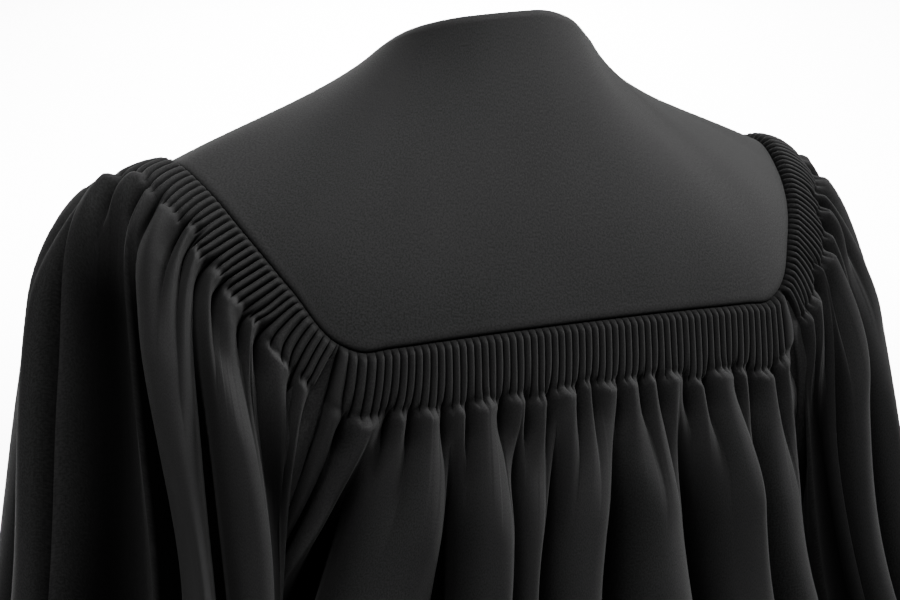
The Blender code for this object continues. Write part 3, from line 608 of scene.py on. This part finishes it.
def shell(name, grid, uv, material, painted_shade, rows_above, closed=False):
    """A smooth-shaded sheet of cloth over a grid of points, with the painted shade that darkens its colour,
    which is given from the row after rows_above."""
    rows, columns = grid.shape[:2]
    painted_shade = np.pad(painted_shade, ((rows_above, rows - rows_above - len(painted_shade)), (0, 0)), mode="edge")
    last_column = columns if closed else columns - 1
    row, column = np.meshgrid(np.arange(rows - 1), np.arange(last_column), indexing="ij")
    after = (column + 1) % columns
    corners = np.stack([row * columns + column, (row + 1) * columns + column, (row + 1) * columns + after,
                        row * columns + after], axis=-1).reshape(-1, 4)
    mesh = bpy.data.meshes.new(name)
    mesh.from_pydata(grid.reshape(-1, 3).tolist(), [], corners.tolist())
    layer = mesh.uv_layers.new(name="cloth")
    flat = uv.reshape(-1, 2)[corners.reshape(-1)]
    if closed:
        wrapped = (after == 0).reshape(-1)
        step = uv[0, -1, 0] - uv[0, -2, 0]
        flat = flat.reshape(-1, 4, 2)
        flat[wrapped, 2:, 0] = uv[0, -1, 0] + step
        flat = flat.reshape(-1, 2)
    layer.data.foreach_set("uv", flat.astype(np.float32).ravel())
    # Painted shade, which the cloth material darkens its colour and gloss by
    painted_shade_layer = mesh.attributes.new("painted_shade", "FLOAT", "POINT")
    painted_shade_layer.data.foreach_set("value", painted_shade.astype(np.float32).ravel())
    mesh.shade_smooth()
    return linked(name, mesh, material)


def turned_towards(leaving, direction, side, normals, share):
    """Leaving directions turned by a share towards another one, kept along the cloth."""
    target = np.array(direction) * [side, 1, 1]
    target = unit(target - np.sum(target * normals, axis=1, keepdims=True) * normals)
    return unit(leaving + share[:, None] * (target - leaving))


Armhole = namedtuple("Armhole", "points outward normals share_down")


def armhole_pull(layout, column, span, across, back):
    """How near each column is to the armhole's, from 0 to 1, and where the cloth there arrives."""
    from_edge = np.abs(layout.width - layout.width[column]) * span
    nearness = np.clip(1.0 - from_edge / ARMHOLE_WIDTH, 0.0, 1.0) ** 2
    outwards, forwards, down = ARMHOLE_ARRIVAL
    return nearness, unit(np.array([across * outwards, -forwards if back else forwards, down]))


def with_allowance(surface, facing, leaving, painted_shade, cloth, across):
    """The panel with one more column at each side, carried in behind the panels beside it."""
    beyond = across[:, [0, -1]] * [[[-SEAM_ALLOWANCE], [SEAM_ALLOWANCE]]]
    sides = surface[:, [0, -1]] - facing[:, [0, -1]] * EDGE_TURN + beyond
    return (np.concatenate([sides[:, :1], surface, sides[:, 1:]], axis=1),
            np.pad(facing, ((0, 0), (1, 1), (0, 0)), mode="edge"),
            np.pad(leaving, ((1, 1), (0, 0)), mode="edge"),
            np.pad(painted_shade, ((0, 0), (1, 1)), mode="edge"),
            np.concatenate([[-SEAM_ALLOWANCE], cloth, cloth[-1:] + SEAM_ALLOWANCE]))


# A panel's cut: its seam from start to stop on the yoke's edge, and its ends round the body's half.
# Arm_columns are the columns that go down beside the arms.
Cut = namedtuple("Cut", "name stretches start stop side ends arm_columns gathers flute_ends seed")
Panel = namedtuple("Panel", "armholes grid hem piece")


def body_panel(cut, material):
    """A back or front panel from its seam with the yoke to the hem."""
    back = cut.start == -cut.stop
    layout = lay_out(cut.stretches, edge_length_between(cut.start, cut.stop), BODY_COLUMNS_A_FLUTE)
    points, leaving, normals = yoke_edge(evenly_along_edge(cut.start, cut.stop, layout.seam))[:3]
    span = sum(stretch.width for stretch in cut.stretches)
    sections = []
    for level in BODY_LEVELS:
        shares = layout.width + (layout.cloth - layout.width) * level.even
        round_half = cut.ends[0] + (cut.ends[1] - cut.ends[0]) * shares
        sections.append(body_section(level, back, round_half) * [cut.side, 1, 1])
    arriving = unit(sections[1] - sections[0])
    for column in cut.arm_columns:
        across = math.copysign(1.0, points[column, 0])
        nearness, arrival = armhole_pull(layout, column, span, across, back)
        arriving = unit(arriving + nearness[:, None] * (arrival - arriving))
        leaving = turned_towards(leaving, ARMHOLE_LEAVES, across, normals, nearness)
    shares_down = row_shares(BODY_ROWS)
    grid = falling(points + leaving * SEAM_GAP, leaving, arriving, sections, 1.0, 1.0, shares_down)
    facing = grid_normals(grid) * cut.side
    facing[0] = normals
    under_arm = len(shares_down[0]) - 1
    down = distance_along(grid)
    height, lean, painted_shade = relief(layout, down, cut.gathers, cut.flute_ends, np.random.default_rng(cut.seed))
    height = height + tuck(down)
    armholes = []
    for column in cut.arm_columns:
        facing[under_arm:, column] = [math.copysign(1.0, points[column, 0]), 0.0, 0.0]
        armholes.append(armhole_edge(grid, facing, column, under_arm))
        height = height + tuck(np.linalg.norm(grid - grid[:, [column]], axis=2) + ARM_SEAM_EASE)
    across = unit(np.gradient(grid, axis=1))
    surface = grid + facing * height[..., None] + across * lean[..., None]
    cloth = layout.cloth * sum_cloth(cut.stretches)
    if back:
        surface, facing, leaving, painted_shade, cloth = with_allowance(
            surface, facing, leaving, painted_shade, cloth, across)
    surface = tucked_under(turned_in(surface, facing, HEM_TURN), facing, leaving)
    hem = (surface[-HEM_ROWS - 2], facing[-2])
    piece = shell(cut.name, surface, cloth_uv(cloth, surface), material, painted_shade, SEAM_ROWS)
    return Panel(armholes, grid, hem, piece)


def sum_cloth(stretches):
    return sum(stretch.cloth if isinstance(stretch, Fold) else stretch.width for stretch in stretches)


def cloth_uv(across, surface):
    """Cloth coordinates in metres: across the piece and down it."""
    down = distance_along(surface)
    return np.stack([np.broadcast_to(across, down.shape), down], axis=-1)


def armhole_edge(grid, facing, column, under_arm):
    """The edge of a panel round the arm: its points, the ways out along and off the cloth, and how
    far down the armhole each point is, as the CAD model's rows have it."""
    beside = column + ARM_INNER_COLUMNS if column == 0 else column - ARM_INNER_COLUMNS
    points = grid[:under_arm + 1, column]
    normals = facing[:under_arm + 1, column]
    along = unit(np.gradient(points, axis=0))
    outward = points - grid[:under_arm + 1, beside]
    outward = outward - np.sum(outward * normals, axis=1, keepdims=True) * normals
    outward = outward - np.sum(outward * along, axis=1, keepdims=True) * along
    run = distance_along(points)
    rest = run[-1] - CAD_TOP_ROWS[-1]
    knots = CAD_TOP_ROWS + [CAD_TOP_ROWS[-1] + share * rest for share in CAD_ARMHOLE_SHARES]
    share_down = np.interp(run, knots, np.linspace(0.0, 1.0, len(knots)))
    return Armhole(points, unit(outward), normals, share_down)


def square_to_seam(grid, leaving):
    """The same surface, with its columns set square to the seam at first, as the flutes are."""
    seam = distance_along(grid[0])
    along = unit(np.gradient(grid[0], axis=0))
    slant = np.sum(leaving * along, axis=1) * ramp(np.minimum(seam, seam[-1] - seam), 0.0, SQUARE_CORNER)
    square = np.sqrt(1.0 - slant ** 2)
    down = distance_along(grid)
    steps = np.linspace(0.0, SQUARE_GONE, SQUARE_STEPS)
    turned = np.cumsum(1.0 - ramp(steps, SQUARE_TO, SQUARE_GONE)) * steps[1]
    kept = np.interp(down, steps, turned)
    sideways = seam - slant / square * kept
    deeper = down + (1.0 / square - 1.0) * kept * (1.0 - ramp(down, *SQUARE_EVENS))
    columns = np.interp(sideways, seam, np.arange(len(seam)))
    shares = down[:, len(seam) // 2] / down[-1, len(seam) // 2]
    lengths = np.interp(columns, np.arange(len(seam)), down[-1])
    rows = np.interp(deeper / lengths, shares, np.arange(len(grid)))
    left, top = np.minimum(columns.astype(int), len(seam) - 2), np.minimum(rows.astype(int), len(grid) - 2)
    over, under = (columns - left)[..., None], (rows - top)[..., None]
    return ((grid[top, left] * (1 - over) + grid[top, left + 1] * over) * (1 - under)
            + (grid[top + 1, left] * (1 - over) + grid[top + 1, left + 1] * over) * under)


def round_the_arm(back_armhole, front_armhole, corners):
    """The sleeve's start under the arm, from the front corner to the back one: points, leaving
    directions, normals and places from 0 to 1."""
    steps = 2 * (len(CAD_TOP_ROWS) + len(CAD_ARMHOLE_SHARES) - 1)
    halves = []
    for armhole, corner, is_front in ((front_armhole, corners[-1], True), (back_armhole, corners[0], False)):
        share_down = armhole.share_down[:, None]
        lean = np.pi / 2 * ramp(share_down, ARM_LEAN_FROM, 1.0)
        outward = np.cos(lean) * armhole.outward + np.sin(lean) * armhole.normals
        blend = ramp(share_down, 0.0, ARM_BLEND_TO)
        half = steps / 2 * armhole.share_down
        halves.append((armhole.points + outward * SEAM_GAP, unit(corner + (outward - corner) * blend),
                       np.cos(lean) * armhole.normals - np.sin(lean) * armhole.outward,
                       ((half if is_front else steps - half) + 1.0) / (steps + 2.0)))
    return [np.concatenate([front, back[-2::-1]]) for front, back in zip(*halves)]


def sleeve(name, side, back_armhole, front_armhole, material, seed):
    """A sleeve: a tube from the yoke's side and the armhole to the open cuff."""
    edge_length = edge_length_between(CORNER * side, FRONT_CORNER * side)
    margin = SLEEVE_SEAM_MARGIN / edge_length
    layout = lay_out(SLEEVE_LAYOUT, edge_length, SLEEVE_COLUMNS_A_FLUTE)
    shares = margin + (1.0 - 2.0 * margin) * layout.seam
    points, leaving, normals = yoke_edge(evenly_along_edge(CORNER * side, FRONT_CORNER * side, shares))[:3]
    points = points + leaving * SEAM_GAP
    from_corner = np.minimum(layout.seam, 1.0 - layout.seam) * edge_length
    nearness = 1.0 - ramp(from_corner, 0.0, SLEEVE_CORNER_WIDTH)
    leaving = turned_towards(leaving, SLEEVE_CORNER_LEAVES, side, normals, nearness)
    turn = SLEEVE_BACK_TURN + (SLEEVE_FRONT_TURN - SLEEVE_BACK_TURN) * layout.width
    arm_points, arm_leaving, arm_normals, arm_places = round_the_arm(back_armhole, front_armhole, leaving)
    arm_turn = SLEEVE_FRONT_TURN + (360.0 + SLEEVE_BACK_TURN - SLEEVE_FRONT_TURN) * arm_places

    starts = np.concatenate([points, arm_points])
    leaving = np.concatenate([leaving, arm_leaving])
    normals = np.concatenate([normals, arm_normals])
    turn = np.concatenate([turn, arm_turn])
    sections = [sleeve_section(level, turn, side) for level in SLEEVE_LEVELS]
    arriving = unit(sections[1] - sections[0])
    leaves = LEFT_SLEEVE_LEAVES if side == LEFT else RIGHT_SLEEVE_LEAVES
    grid = falling(starts, leaving, arriving, sections, leaves, SLEEVE_ARRIVES, row_shares(SLEEVE_ROWS))
    fluted = len(layout.seam)
    grid[:, :fluted] = square_to_seam(grid[:, :fluted], leaving[:fluted])
    facing = grid_normals(grid, closed=True) * side
    facing[0] = normals
    down = distance_along(grid)
    height = tuck(down)
    lean = np.zeros_like(height)
    painted_shade = np.zeros_like(height)
    folds, lean[:, :fluted], painted_shade[:, :fluted] = relief(
        layout, down[:, :fluted], SIDE_GATHERS, SLEEVE_FLUTE_ENDS, np.random.default_rng(seed))
    height[:, :fluted] += folds
    across = unit(np.roll(grid, -1, axis=1) - np.roll(grid, 1, axis=1))
    surface = grid + facing * height[..., None] + across * lean[..., None]
    surface = tucked_under(turned_in(surface, facing, HEM_TURN), facing, leaving)
    cloth = layout.cloth * sum_cloth(SLEEVE_LAYOUT)
    arm_cloth = cloth[-1] + ARM_CLOTH_GAP + ARM_CLOTH_WIDTH * np.linspace(0.0, 1.0, len(arm_turn))
    uv = cloth_uv(np.concatenate([cloth, arm_cloth]), surface)
    hem = (surface[-HEM_ROWS - 2], facing[-2])
    return hem, shell(name, surface, uv, material, painted_shade, SEAM_ROWS, closed=True)


def yoke_piece(name, start, stop, columns, material):
    """A yoke panel with a softly raised rim that rounds down into the fluted seam."""
    places = evenly_along_edge(start, stop, np.linspace(0, 1, columns))
    shares = np.concatenate([np.linspace(0.0, YOKE_RIM_START, YOKE_ROWS[0])[:-1],
                             np.linspace(YOKE_RIM_START, 1.0, YOKE_ROWS[1])])
    grid = yoke_surface(places, shares)
    facing = grid_normals(grid) * math.copysign(1.0, stop - start)
    facing[-1] = yoke_edge(places)[2]
    down = distance_along(grid)
    to_seam = down[-1] - down
    crown = np.sin(np.pi * np.clip(to_seam / RIM_WIDTH, 0, 1)) * (1 - ramp(to_seam, 0.0, RIM_WIDTH))
    rim = 2 * RIM_HEIGHT * crown
    surface = grid + facing * (rim + tuck(to_seam))[..., None]
    inner = surface[0] - facing[0] * EDGE_TURN
    down_in = unit(grid[3] - grid[0])
    turned = [inner + down_in * depth for depth in NECK_TURN] + [surface[0] - facing[0] * EDGE_TURN / 2]
    surface = np.concatenate([np.array(turned), surface])
    length = distance_along(yoke_edge(places)[0])
    # Painted shade along the seam: a full dark line right at it and a softer dark band above it
    shade = np.maximum(1.0 - ramp(to_seam, 0.0, YOKE_SEAM_SHADE_WIDTH),
                       YOKE_SEAM_SHADE * (1.0 - ramp(to_seam, 0.0, SEAM_SHADE_WIDTH)))
    return shell(name, surface, cloth_uv(length, surface), material, shade, len(turned))


def zip_line(yoke_line, panel_line):
    """Points down the middle of the front from the slider to the zip's foot, and their directions."""
    line = np.concatenate([yoke_line, panel_line[1:]]) * [0.0, 1.0, 1.0]
    run = distance_along(line)
    foot = np.interp(-ZIP_FOOT, -line[:, 2], run)
    wanted = np.arange(ZIP_START + SLIDER_LENGTH, foot, TOOTH_PITCH)
    points = np.stack([np.interp(wanted, run, line[:, axis]) for axis in range(3)], axis=-1)
    along = unit(np.gradient(points, axis=0))
    off = np.stack([np.zeros(len(points)), along[:, 2], -along[:, 1]], axis=-1)
    return points, along, off


def blocks(name, centres, lengthwise, outward, size, material):
    """Small blocks with bevelled tops at the centres, each lying lengthwise and standing outward."""
    crosswise = unit(np.cross(outward, lengthwise))
    length, width, height = size
    corners = []
    for up, shrink in ((0.0, 1.0), (0.6, 1.0), (1.0, 0.6)):
        for along, over in ((-0.5, -0.5), (0.5, -0.5), (0.5, 0.5), (-0.5, 0.5)):
            corners.append(centres + lengthwise * along * shrink * length
                           + crosswise * over * shrink * width + outward * up * height)
    points = np.stack(corners, axis=1).reshape(-1, 3)
    faces = []
    for start in range(0, len(points), 12):
        for ring in (0, 4):
            for corner in range(4):
                after = (corner + 1) % 4
                faces.append((start + ring + corner, start + ring + after, start + ring + 4 + after,
                              start + ring + 4 + corner))
        faces.append((start + 8, start + 9, start + 10, start + 11))
        faces.append((start + 3, start + 2, start + 1, start))
    mesh = bpy.data.meshes.new(name)
    mesh.from_pydata(points.tolist(), [], faces)
    return linked(name, mesh, material)


def zip_teeth(line, material):
    """The closed zip's teeth, which reach in by turns from the two tapes."""
    points, _, off = line
    turns = np.where(np.arange(len(points)) % 2 == 0, 1.0, -1.0)[:, None]
    across = np.array([[1.0, 0.0, 0.0]]) * np.ones((len(points), 1))
    centres = points + across * turns * TOOTH_OFFSET - off * TOOTH_DEPTH
    return blocks("zip_teeth", centres, across, off, TOOTH_SIZE, material)


def stitches(name, line, outward, material):
    """A row of machine stitches along a line on the cloth."""
    run = distance_along(line)
    wanted = np.arange(STITCH_PITCH, run[-1] - STITCH_PITCH, STITCH_PITCH)
    points = np.stack([np.interp(wanted, run, line[:, axis]) for axis in range(3)], axis=-1)
    facing = unit(np.stack([np.interp(wanted, run, outward[:, axis]) for axis in range(3)], axis=-1))
    along = unit(np.gradient(points, axis=0))
    facing = unit(facing - np.sum(facing * along, axis=1, keepdims=True) * along)
    return blocks(name, points - facing * STITCH_SUNK, along, facing, STITCH_SIZE, material)


def fill(node, inputs):
    """The node, with its named inputs set."""
    for name, value in inputs.items():
        node.inputs[name].default_value = value
    return node


def new_material(name, inputs):
    """A material, its nodes, the function that links them, and its shader with its inputs set."""
    material = bpy.data.materials.new(name)
    material.use_nodes = True
    nodes = material.node_tree.nodes
    return material, nodes, material.node_tree.links.new, fill(nodes["Principled BSDF"], inputs)


def noise(nodes, link, place, inputs):
    texture = fill(nodes.new("ShaderNodeTexNoise"), inputs)
    if place is not None:
        link(place, texture.inputs["Vector"])
    return texture.outputs["Fac"]


def mixed(nodes, link, first, second, factor):
    mix = fill(nodes.new("ShaderNodeMix"), {"Factor": factor})
    link(first, mix.inputs["A"])
    link(second, mix.inputs["B"])
    return mix.outputs["Result"]


def product(nodes, link, first, second):
    """Two outputs multiplied, or an output and a number."""
    times = nodes.new("ShaderNodeMath")
    times.operation = "MULTIPLY"
    link(first, times.inputs[0])
    if isinstance(second, float):
        times.inputs[1].default_value = second
    else:
        link(second, times.inputs[1])
    return times.outputs["Value"]


def coloured(nodes, link, factor, dark, light, stops):
    colour = nodes.new("ShaderNodeValToRGB")
    link(factor, colour.inputs["Fac"])
    for element, stop, shade in zip(colour.color_ramp.elements, stops, (dark, light)):
        element.position = stop
        element.color = shade
    return colour.outputs["Color"]


def painted_shade_factor(nodes, link):
    """The share of its colour and gloss that the cloth keeps under painted shade, from all of it where there
    is none down to a small share where it is deepest.
    """
    painted_shade = nodes.new("ShaderNodeAttribute")
    painted_shade.attribute_name = "painted_shade"
    kept = fill(nodes.new("ShaderNodeMapRange"), {"To Min": 1.0, "To Max": PAINTED_SHADE_KEEPS})
    link(painted_shade.outputs["Fac"], kept.inputs["Value"])
    return kept.outputs["Result"]


def woven(nodes, link, place, grain):
    """Normals of crossed threads with a grain over them."""
    threads = []
    for direction in ("X", "Y"):
        thread = fill(nodes.new("ShaderNodeTexWave"), {"Scale": 420.0, "Distortion": 1.5})
        thread.wave_type = "BANDS"
        thread.bands_direction = direction
        link(place, thread.inputs["Vector"])
        threads.append(thread.outputs["Fac"])
    bump = fill(nodes.new("ShaderNodeBump"), {"Strength": 0.35, "Distance": 0.0004})
    link(mixed(nodes, link, product(nodes, link, *threads), grain, 0.7), bump.inputs["Height"])
    return bump.outputs["Normal"]


def cloth_material(name, by_piece):
    """Matt black woven cloth, its colour and gloss darkened by the painted shade its mesh carries. By_piece
    places its weave by the object's own place, not by flat cloth.
    """
    material, nodes, link, shader = new_material(name, {
        "Roughness": 0.78, "Sheen Weight": 0.03, "Sheen Roughness": 0.45, "Sheen Tint": WHITE})
    if by_piece:
        place = nodes.new("ShaderNodeTexCoord").outputs["Object"]
    else:
        uv = nodes.new("ShaderNodeUVMap")
        uv.uv_map = "cloth"
        place = uv.outputs["UV"]
    grain = noise(nodes, link, place, {"Scale": 800.0, "Detail": 5.0})
    cloud = noise(nodes, link, place, {"Scale": 14.0, "Detail": 4.0})
    patchy = mixed(nodes, link, grain, cloud, 0.12)
    colour = coloured(nodes, link, patchy, CLOTH_DARK, CLOTH_LIGHT, (0.40, 0.60))
    # Painted shade: the base colour and the gloss are scaled down where the mesh's painted shade is deep
    kept = painted_shade_factor(nodes, link)
    shaded = nodes.new("ShaderNodeVectorMath")
    shaded.operation = "SCALE"
    link(colour, shaded.inputs[0])
    link(kept, shaded.inputs["Scale"])
    link(shaded.outputs["Vector"], shader.inputs["Base Color"])
    link(product(nodes, link, kept, 0.07), shader.inputs["Specular IOR Level"])
    link(woven(nodes, link, place, grain), shader.inputs["Normal"])
    return material


def metal_material():
    material, nodes, link, shader = new_material("dark_metal", {"Base Color": METAL, "Metallic": 0.7})
    rough = fill(nodes.new("ShaderNodeMapRange"), {"To Min": 0.28, "To Max": 0.45})
    link(noise(nodes, link, None, {"Scale": 900.0}), rough.inputs["Value"])
    link(rough.outputs["Result"], shader.inputs["Roughness"])
    return material


def thread_material():
    material, nodes, link, shader = new_material(
        "black_thread", {"Roughness": 0.7, "Specular IOR Level": 0.15})
    twist = noise(nodes, link, None, {"Scale": 1500.0})
    link(coloured(nodes, link, twist, THREAD_DARK, THREAD_LIGHT, (0.0, 1.0)), shader.inputs["Base Color"])
    return material


def make_panels(cloth):
    """The cloth pieces by the node that each replaces, their hems, and a front panel's middle edge."""
    pieces, hems = {}, {}
    pieces["yoke_back"] = yoke_piece(
        "yoke_back_cloth", -SHOULDER_SEAM, SHOULDER_SEAM, YOKE_BACK_COLUMNS, cloth)
    for side, label in ((LEFT, "left"), (RIGHT, "right")):
        pieces["yoke_front_" + label] = yoke_piece(
            "yoke_front_" + label + "_cloth", (SHOULDER_SEAM + SHOULDER_GAP) * side, FRONT_EDGE * side,
            YOKE_FRONT_COLUMNS, cloth)
    back = body_panel(Cut("back_panel_cloth", BACK_LAYOUT, -CORNER, CORNER, LEFT, (-1.0, 1.0), (0, -1),
                          BACK_GATHERS, BACK_FLUTE_ENDS, BACK_SEED), cloth)
    pieces["back_panel"], hems["back_panel"] = back.piece, back.hem
    for side, label, back_arm in ((LEFT, "left", back.armholes[1]), (RIGHT, "right", back.armholes[0])):
        front = body_panel(Cut("front_" + label + "_cloth", FRONT_LAYOUT, FRONT_CORNER * side,
                               FRONT_EDGE * side, side, (1.0, FRONT_EDGE_SHARE), (0,), SIDE_GATHERS,
                               FRONT_FLUTE_ENDS, FRONT_SEED + side), cloth)
        pieces["front_" + label], hems["front_" + label] = front.piece, front.hem
        hems["sleeve_" + label], pieces["sleeve_" + label] = sleeve(
            "sleeve_" + label + "_cloth", side, back_arm, front.armholes[0], cloth, SLEEVE_SEED + side)
    return pieces, hems, front.grid[:, -1]


def make_gown(frame_nodes):
    """All the gown's pieces. Returns the cloth ones by the node that each replaces."""
    metal = metal_material()
    thread = thread_material()
    pieces, hems, front_line = make_panels(cloth_material("black_cloth", False))
    for node, piece in pieces.items():
        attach(piece, "gown")
        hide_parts(node)
    for node, (line, outward) in hems.items():
        row = stitches(node + "_stitches", line, outward, thread)
        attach(row, "gown")
    yoke_line = yoke_surface([FRONT_EDGE], np.linspace(0.0, 1.0, YOKE_LINE_STEPS))[:, 0]
    teeth = zip_teeth(zip_line(yoke_line, front_line), metal)
    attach(teeth, "gown")
    tape = cloth_material("black_tape", True)
    for node, material in (("zip_tape", tape), ("zip_slider", metal), ("zip_pull", metal)):
        frame_nodes[node].data.materials.clear()
        frame_nodes[node].data.materials.append(material)
    return pieces


def make_camera():
    turn, rise = math.radians(CAMERA_TURN), math.radians(CAMERA_RISE)
    right = Vector((-math.cos(turn), math.sin(turn), 0.0))
    forward = -Vector((math.sin(turn) * math.cos(rise), math.cos(turn) * math.cos(rise), math.sin(rise)))
    up = right.cross(forward)
    across = (ORIGIN_AT[0] - IMAGE_WIDTH / 2) / FOCAL_PIXELS * CAMERA_DISTANCE
    high = (ORIGIN_AT[1] - IMAGE_HEIGHT / 2) / FOCAL_PIXELS * CAMERA_DISTANCE
    camera = bpy.data.objects.new("camera", bpy.data.cameras.new("camera"))
    camera.matrix_world = Matrix((right, up, -forward)).transposed().to_4x4()
    camera.location = -forward * CAMERA_DISTANCE - right * across + up * high
    camera.data.sensor_width = SENSOR_WIDTH
    camera.data.lens = FOCAL_PIXELS / IMAGE_WIDTH * SENSOR_WIDTH
    camera.data.clip_end = CLIP_END
    bpy.context.scene.collection.objects.link(camera)
    bpy.context.scene.camera = camera


def make_lamp(lamp):
    light = bpy.data.lights.new(lamp.name, "AREA")
    light.shape = "RECTANGLE"
    light.size, light.size_y = lamp.size
    light.energy = lamp.power
    light.spread = math.radians(LIGHT_SPREAD)
    holder = bpy.data.objects.new(lamp.name, light)
    holder.location = lamp.place
    holder.rotation_euler = (Vector(lamp.aim) - Vector(lamp.place)).to_track_quat("-Z", "Y").to_euler()
    bpy.context.scene.collection.objects.link(holder)


def make_studio():
    bpy.ops.mesh.primitive_plane_add(size=FLOOR_SIZE, location=(0, 0, FLOOR_HEIGHT))
    floor = bpy.context.active_object
    floor.name = "floor"
    floor.data.materials.append(new_material("pale_floor", {"Base Color": FLOOR, "Roughness": 0.9})[0])
    world = bpy.data.worlds.new("studio")
    world.use_nodes = True
    fill(world.node_tree.nodes["Background"], {"Color": WHITE, "Strength": WORLD_STRENGTH})
    bpy.context.scene.world = world
    for lamp in LAMPS:
        make_lamp(lamp)


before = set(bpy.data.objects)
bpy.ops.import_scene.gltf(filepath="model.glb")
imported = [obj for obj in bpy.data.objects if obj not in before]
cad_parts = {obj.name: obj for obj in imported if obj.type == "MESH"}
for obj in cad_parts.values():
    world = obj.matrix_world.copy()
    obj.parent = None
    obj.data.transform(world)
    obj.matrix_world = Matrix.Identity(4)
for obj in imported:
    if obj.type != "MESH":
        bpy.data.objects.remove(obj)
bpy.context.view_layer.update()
cloth_pieces = make_gown(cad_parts)
make_camera()
make_studio()
